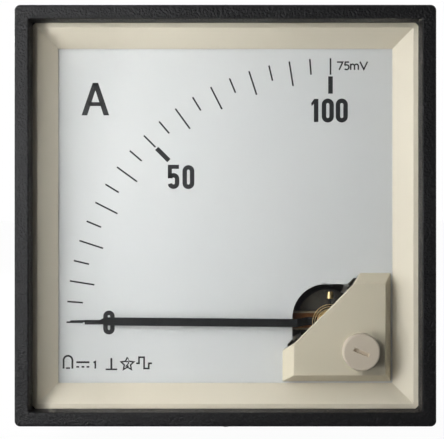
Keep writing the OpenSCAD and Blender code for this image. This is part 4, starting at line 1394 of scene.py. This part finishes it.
@dataclass
class Housing:
    """The black housing and what is fixed inside it."""

    edge: float = 0.4
    half: float = 45.0
    rear: float = 46.0
    flange_half: float = 48.0
    rim_width: float = 1.1
    corner_width: float = 2.5
    skin: float = 0.05

    def outside(self, first: Array, second: Array) -> Array:
        """Edges on the rear face, on the flange's rim and round the clamp pockets."""

        def on_skin(ends: Array) -> Array:
            reach = np.maximum(np.abs(ends[:, 0]), np.abs(ends[:, 2]))
            rear = ends[:, 1] > self.rear - self.skin
            rim = (reach > self.flange_half - self.rim_width) & (ends[:, 1] < 2 * self.skin)
            pocket = (np.abs(ends[:, 2]) > self.half - self.skin) & (ends[:, 1] > 1)
            return rear | rim | pocket

        corner = np.minimum(np.abs(first[:, 0]), np.abs(first[:, 2])) > self.half - self.corner_width
        return on_skin(first) & on_skin(second) & (long_edges(first, second) | corner)

    def build(self) -> None:
        """Makes and dresses the housing, and dresses what it holds."""
        made = soften(merged_copy("housing", "housing_moulding"), self.edge, self.outside)
        place(made, Body.METER, HOUSING_BLACK, Slot.HOUSING, ["housing"])
        dress_nodes(STEEL, "chassis", "chassis_screws", "board_screws")
        dress_nodes(RESIN_BOARD, "resistor_board")
        dress_nodes(RESISTOR_BODY, "series_resistor")
        dress_nodes(TINNED, "solder_posts", "positive_lug", "negative_lug", "chassis_lug")
        dress_nodes(RED_SLEEVE, "positive_lead")
        dress_nodes(BLACK_SLEEVE, "negative_lead")
        dress_nodes(BLUE_SLEEVE, "movement_lead")


# ---- studio --------------------------------------------------------------------------------


@dataclass(frozen=True)
class Lamp:
    """A square soft lamp, and which kinds of surface it lights."""

    name: str
    spot: tuple[float, float, float]
    size: float
    power: float
    diffuse: bool = True
    gloss: bool = True

    def build(self) -> None:
        """Adds the lamp, turned towards the middle of the front."""
        data = bpy.data.lights.new(self.name, "AREA")
        data.shape, data.size, data.energy = "SQUARE", self.size * MM, self.power
        made = linked(self.name, data)
        made.location = metres(self.spot)
        made.rotation_euler = (-made.location).to_track_quat("-Z", "Y").to_euler()
        made.visible_diffuse, made.visible_glossy = self.diffuse, self.gloss
        made.visible_transmission = False


@dataclass
class Studio:
    """The camera, the lamps, the pale floor and the world."""

    place: tuple[float, float, float] = (0.0, -174.0, -1.0)
    lens: float = 59.35
    shift: tuple[float, float] = (-0.0077, 0.0012)
    floor_reach: float = 40.0
    floor_drop: float = 0.05
    floor_colour: Colour = (0.88, 0.88, 0.87)
    floor_roughness: float = 0.8
    whiteness: float = 0.97
    ambient: float = 0.075
    room_behind: float = 0.55
    horizon: float = 0.25
    lamps: tuple[Lamp, ...] = (
        Lamp("key", (-118.0, -121.0, 18.0), 50.0, 0.062, gloss=False),
        Lamp("fill", (-90.0, -160.0, 110.0), 70.0, 0.034, gloss=False),
        Lamp("near", (-60.0, -120.0, 35.0), 30.0, 0.032, gloss=False),
        Lamp("sheen", (-105.0, -125.0, 58.0), 30.0, 0.15, diffuse=False),
        Lamp("low_sheen", (-105.0, -125.0, -48.0), 30.0, 0.14, diffuse=False),
        Lamp("rear", (-260.0, 420.0, 260.0), 300.0, 3.0),
    )

    def camera(self) -> None:
        """A camera square on to the dial."""
        data = bpy.data.cameras.new("camera")
        data.lens, data.sensor_width = self.lens, 36.0
        data.shift_x, data.shift_y = self.shift
        data.clip_start, data.clip_end = 0.01, 100.0
        made = linked("camera", data)
        made.location = metres(self.place)
        made.rotation_euler = (np.pi / 2, 0.0, 0.0)
        bpy.context.scene.camera = made

    def floor(self) -> None:
        """A wide pale floor under the lower clamp: plain white to the camera, dim in the window."""
        low, reach = CAD_LOW.z - self.floor_drop * MM, self.floor_reach
        corners = ((-1, -1), (1, -1), (1, 1), (-1, 1))
        mesh = bpy.data.meshes.new("floor")
        mesh.from_pydata([(x * reach, y * reach, low) for x, y in corners], [], [(0, 1, 2, 3)])
        made = linked("floor", mesh)
        paper, desk, shader = new_material("pale_floor", self.floor_colour)
        colour = opaque(self.floor_colour)
        desk.feed_all(shader, {"Base Color": colour, "Roughness": self.floor_roughness})
        path = desk.add("ShaderNodeLightPath")
        way = desk.fed("ShaderNodeSeparateXYZ", {0: desk.object_place()})
        in_front = desk.maths("LESS_THAN", way.outputs["Y"], 0.0)
        mirrored = desk.maths("MULTIPLY", path.outputs["Is Glossy Ray"], in_front)
        seen = desk.maths("MULTIPLY", path.outputs["Is Camera Ray"], self.whiteness)
        level = desk.maths("MAXIMUM", path.outputs["Is Camera Ray"], self.ambient)
        glow = desk.fed("ShaderNodeEmission", {"Strength": level})
        show_mix(desk, desk.maths("MAXIMUM", seen, mirrored), shader, glow)
        mesh.materials.append(paper)

    def world(self) -> None:
        """A dim room in front, a pale one behind, and white where the camera looks."""
        made = bpy.data.worlds.new("studio")
        bpy.context.scene.world = made
        made.use_nodes = True
        desk = NodeDesk(made.node_tree)
        sky = made.node_tree.nodes["Background"]
        way = desk.add("ShaderNodeSeparateXYZ")
        desk.feed(way.inputs[0], desk.add("ShaderNodeTexCoord").outputs["Generated"])
        behind = desk.spread(way.outputs["Y"], -self.horizon, self.horizon)
        room = desk.maths("MULTIPLY_ADD", behind, self.room_behind, self.ambient)
        path = desk.add("ShaderNodeLightPath")
        level = desk.maths("MAXIMUM", room, path.outputs["Is Camera Ray"])
        desk.feed(sky.inputs["Strength"], level)
        sky.inputs["Color"].default_value = (1.0, 1.0, 1.0, 1.0)

    def build(self) -> None:
        """Sets up the picture."""
        self.camera()
        self.floor()
        self.world()
        for lamp in self.lamps:
            lamp.build()
        bpy.context.scene.view_settings.view_transform = "Standard"


def main() -> None:
    """Builds every sub-assembly in order."""
    logging.basicConfig(level=logging.INFO, format="%(name)s: %(message)s")
    Studio().build()
    for part in (
        FrontMouldings(), DialPrint(), CornerFurniture(), Movement(), Terminals(), Clamps(), Housing()
    ):
        part.build()
        log.info("%s is done", type(part).__name__)


if __name__ == "__main__":
    main()
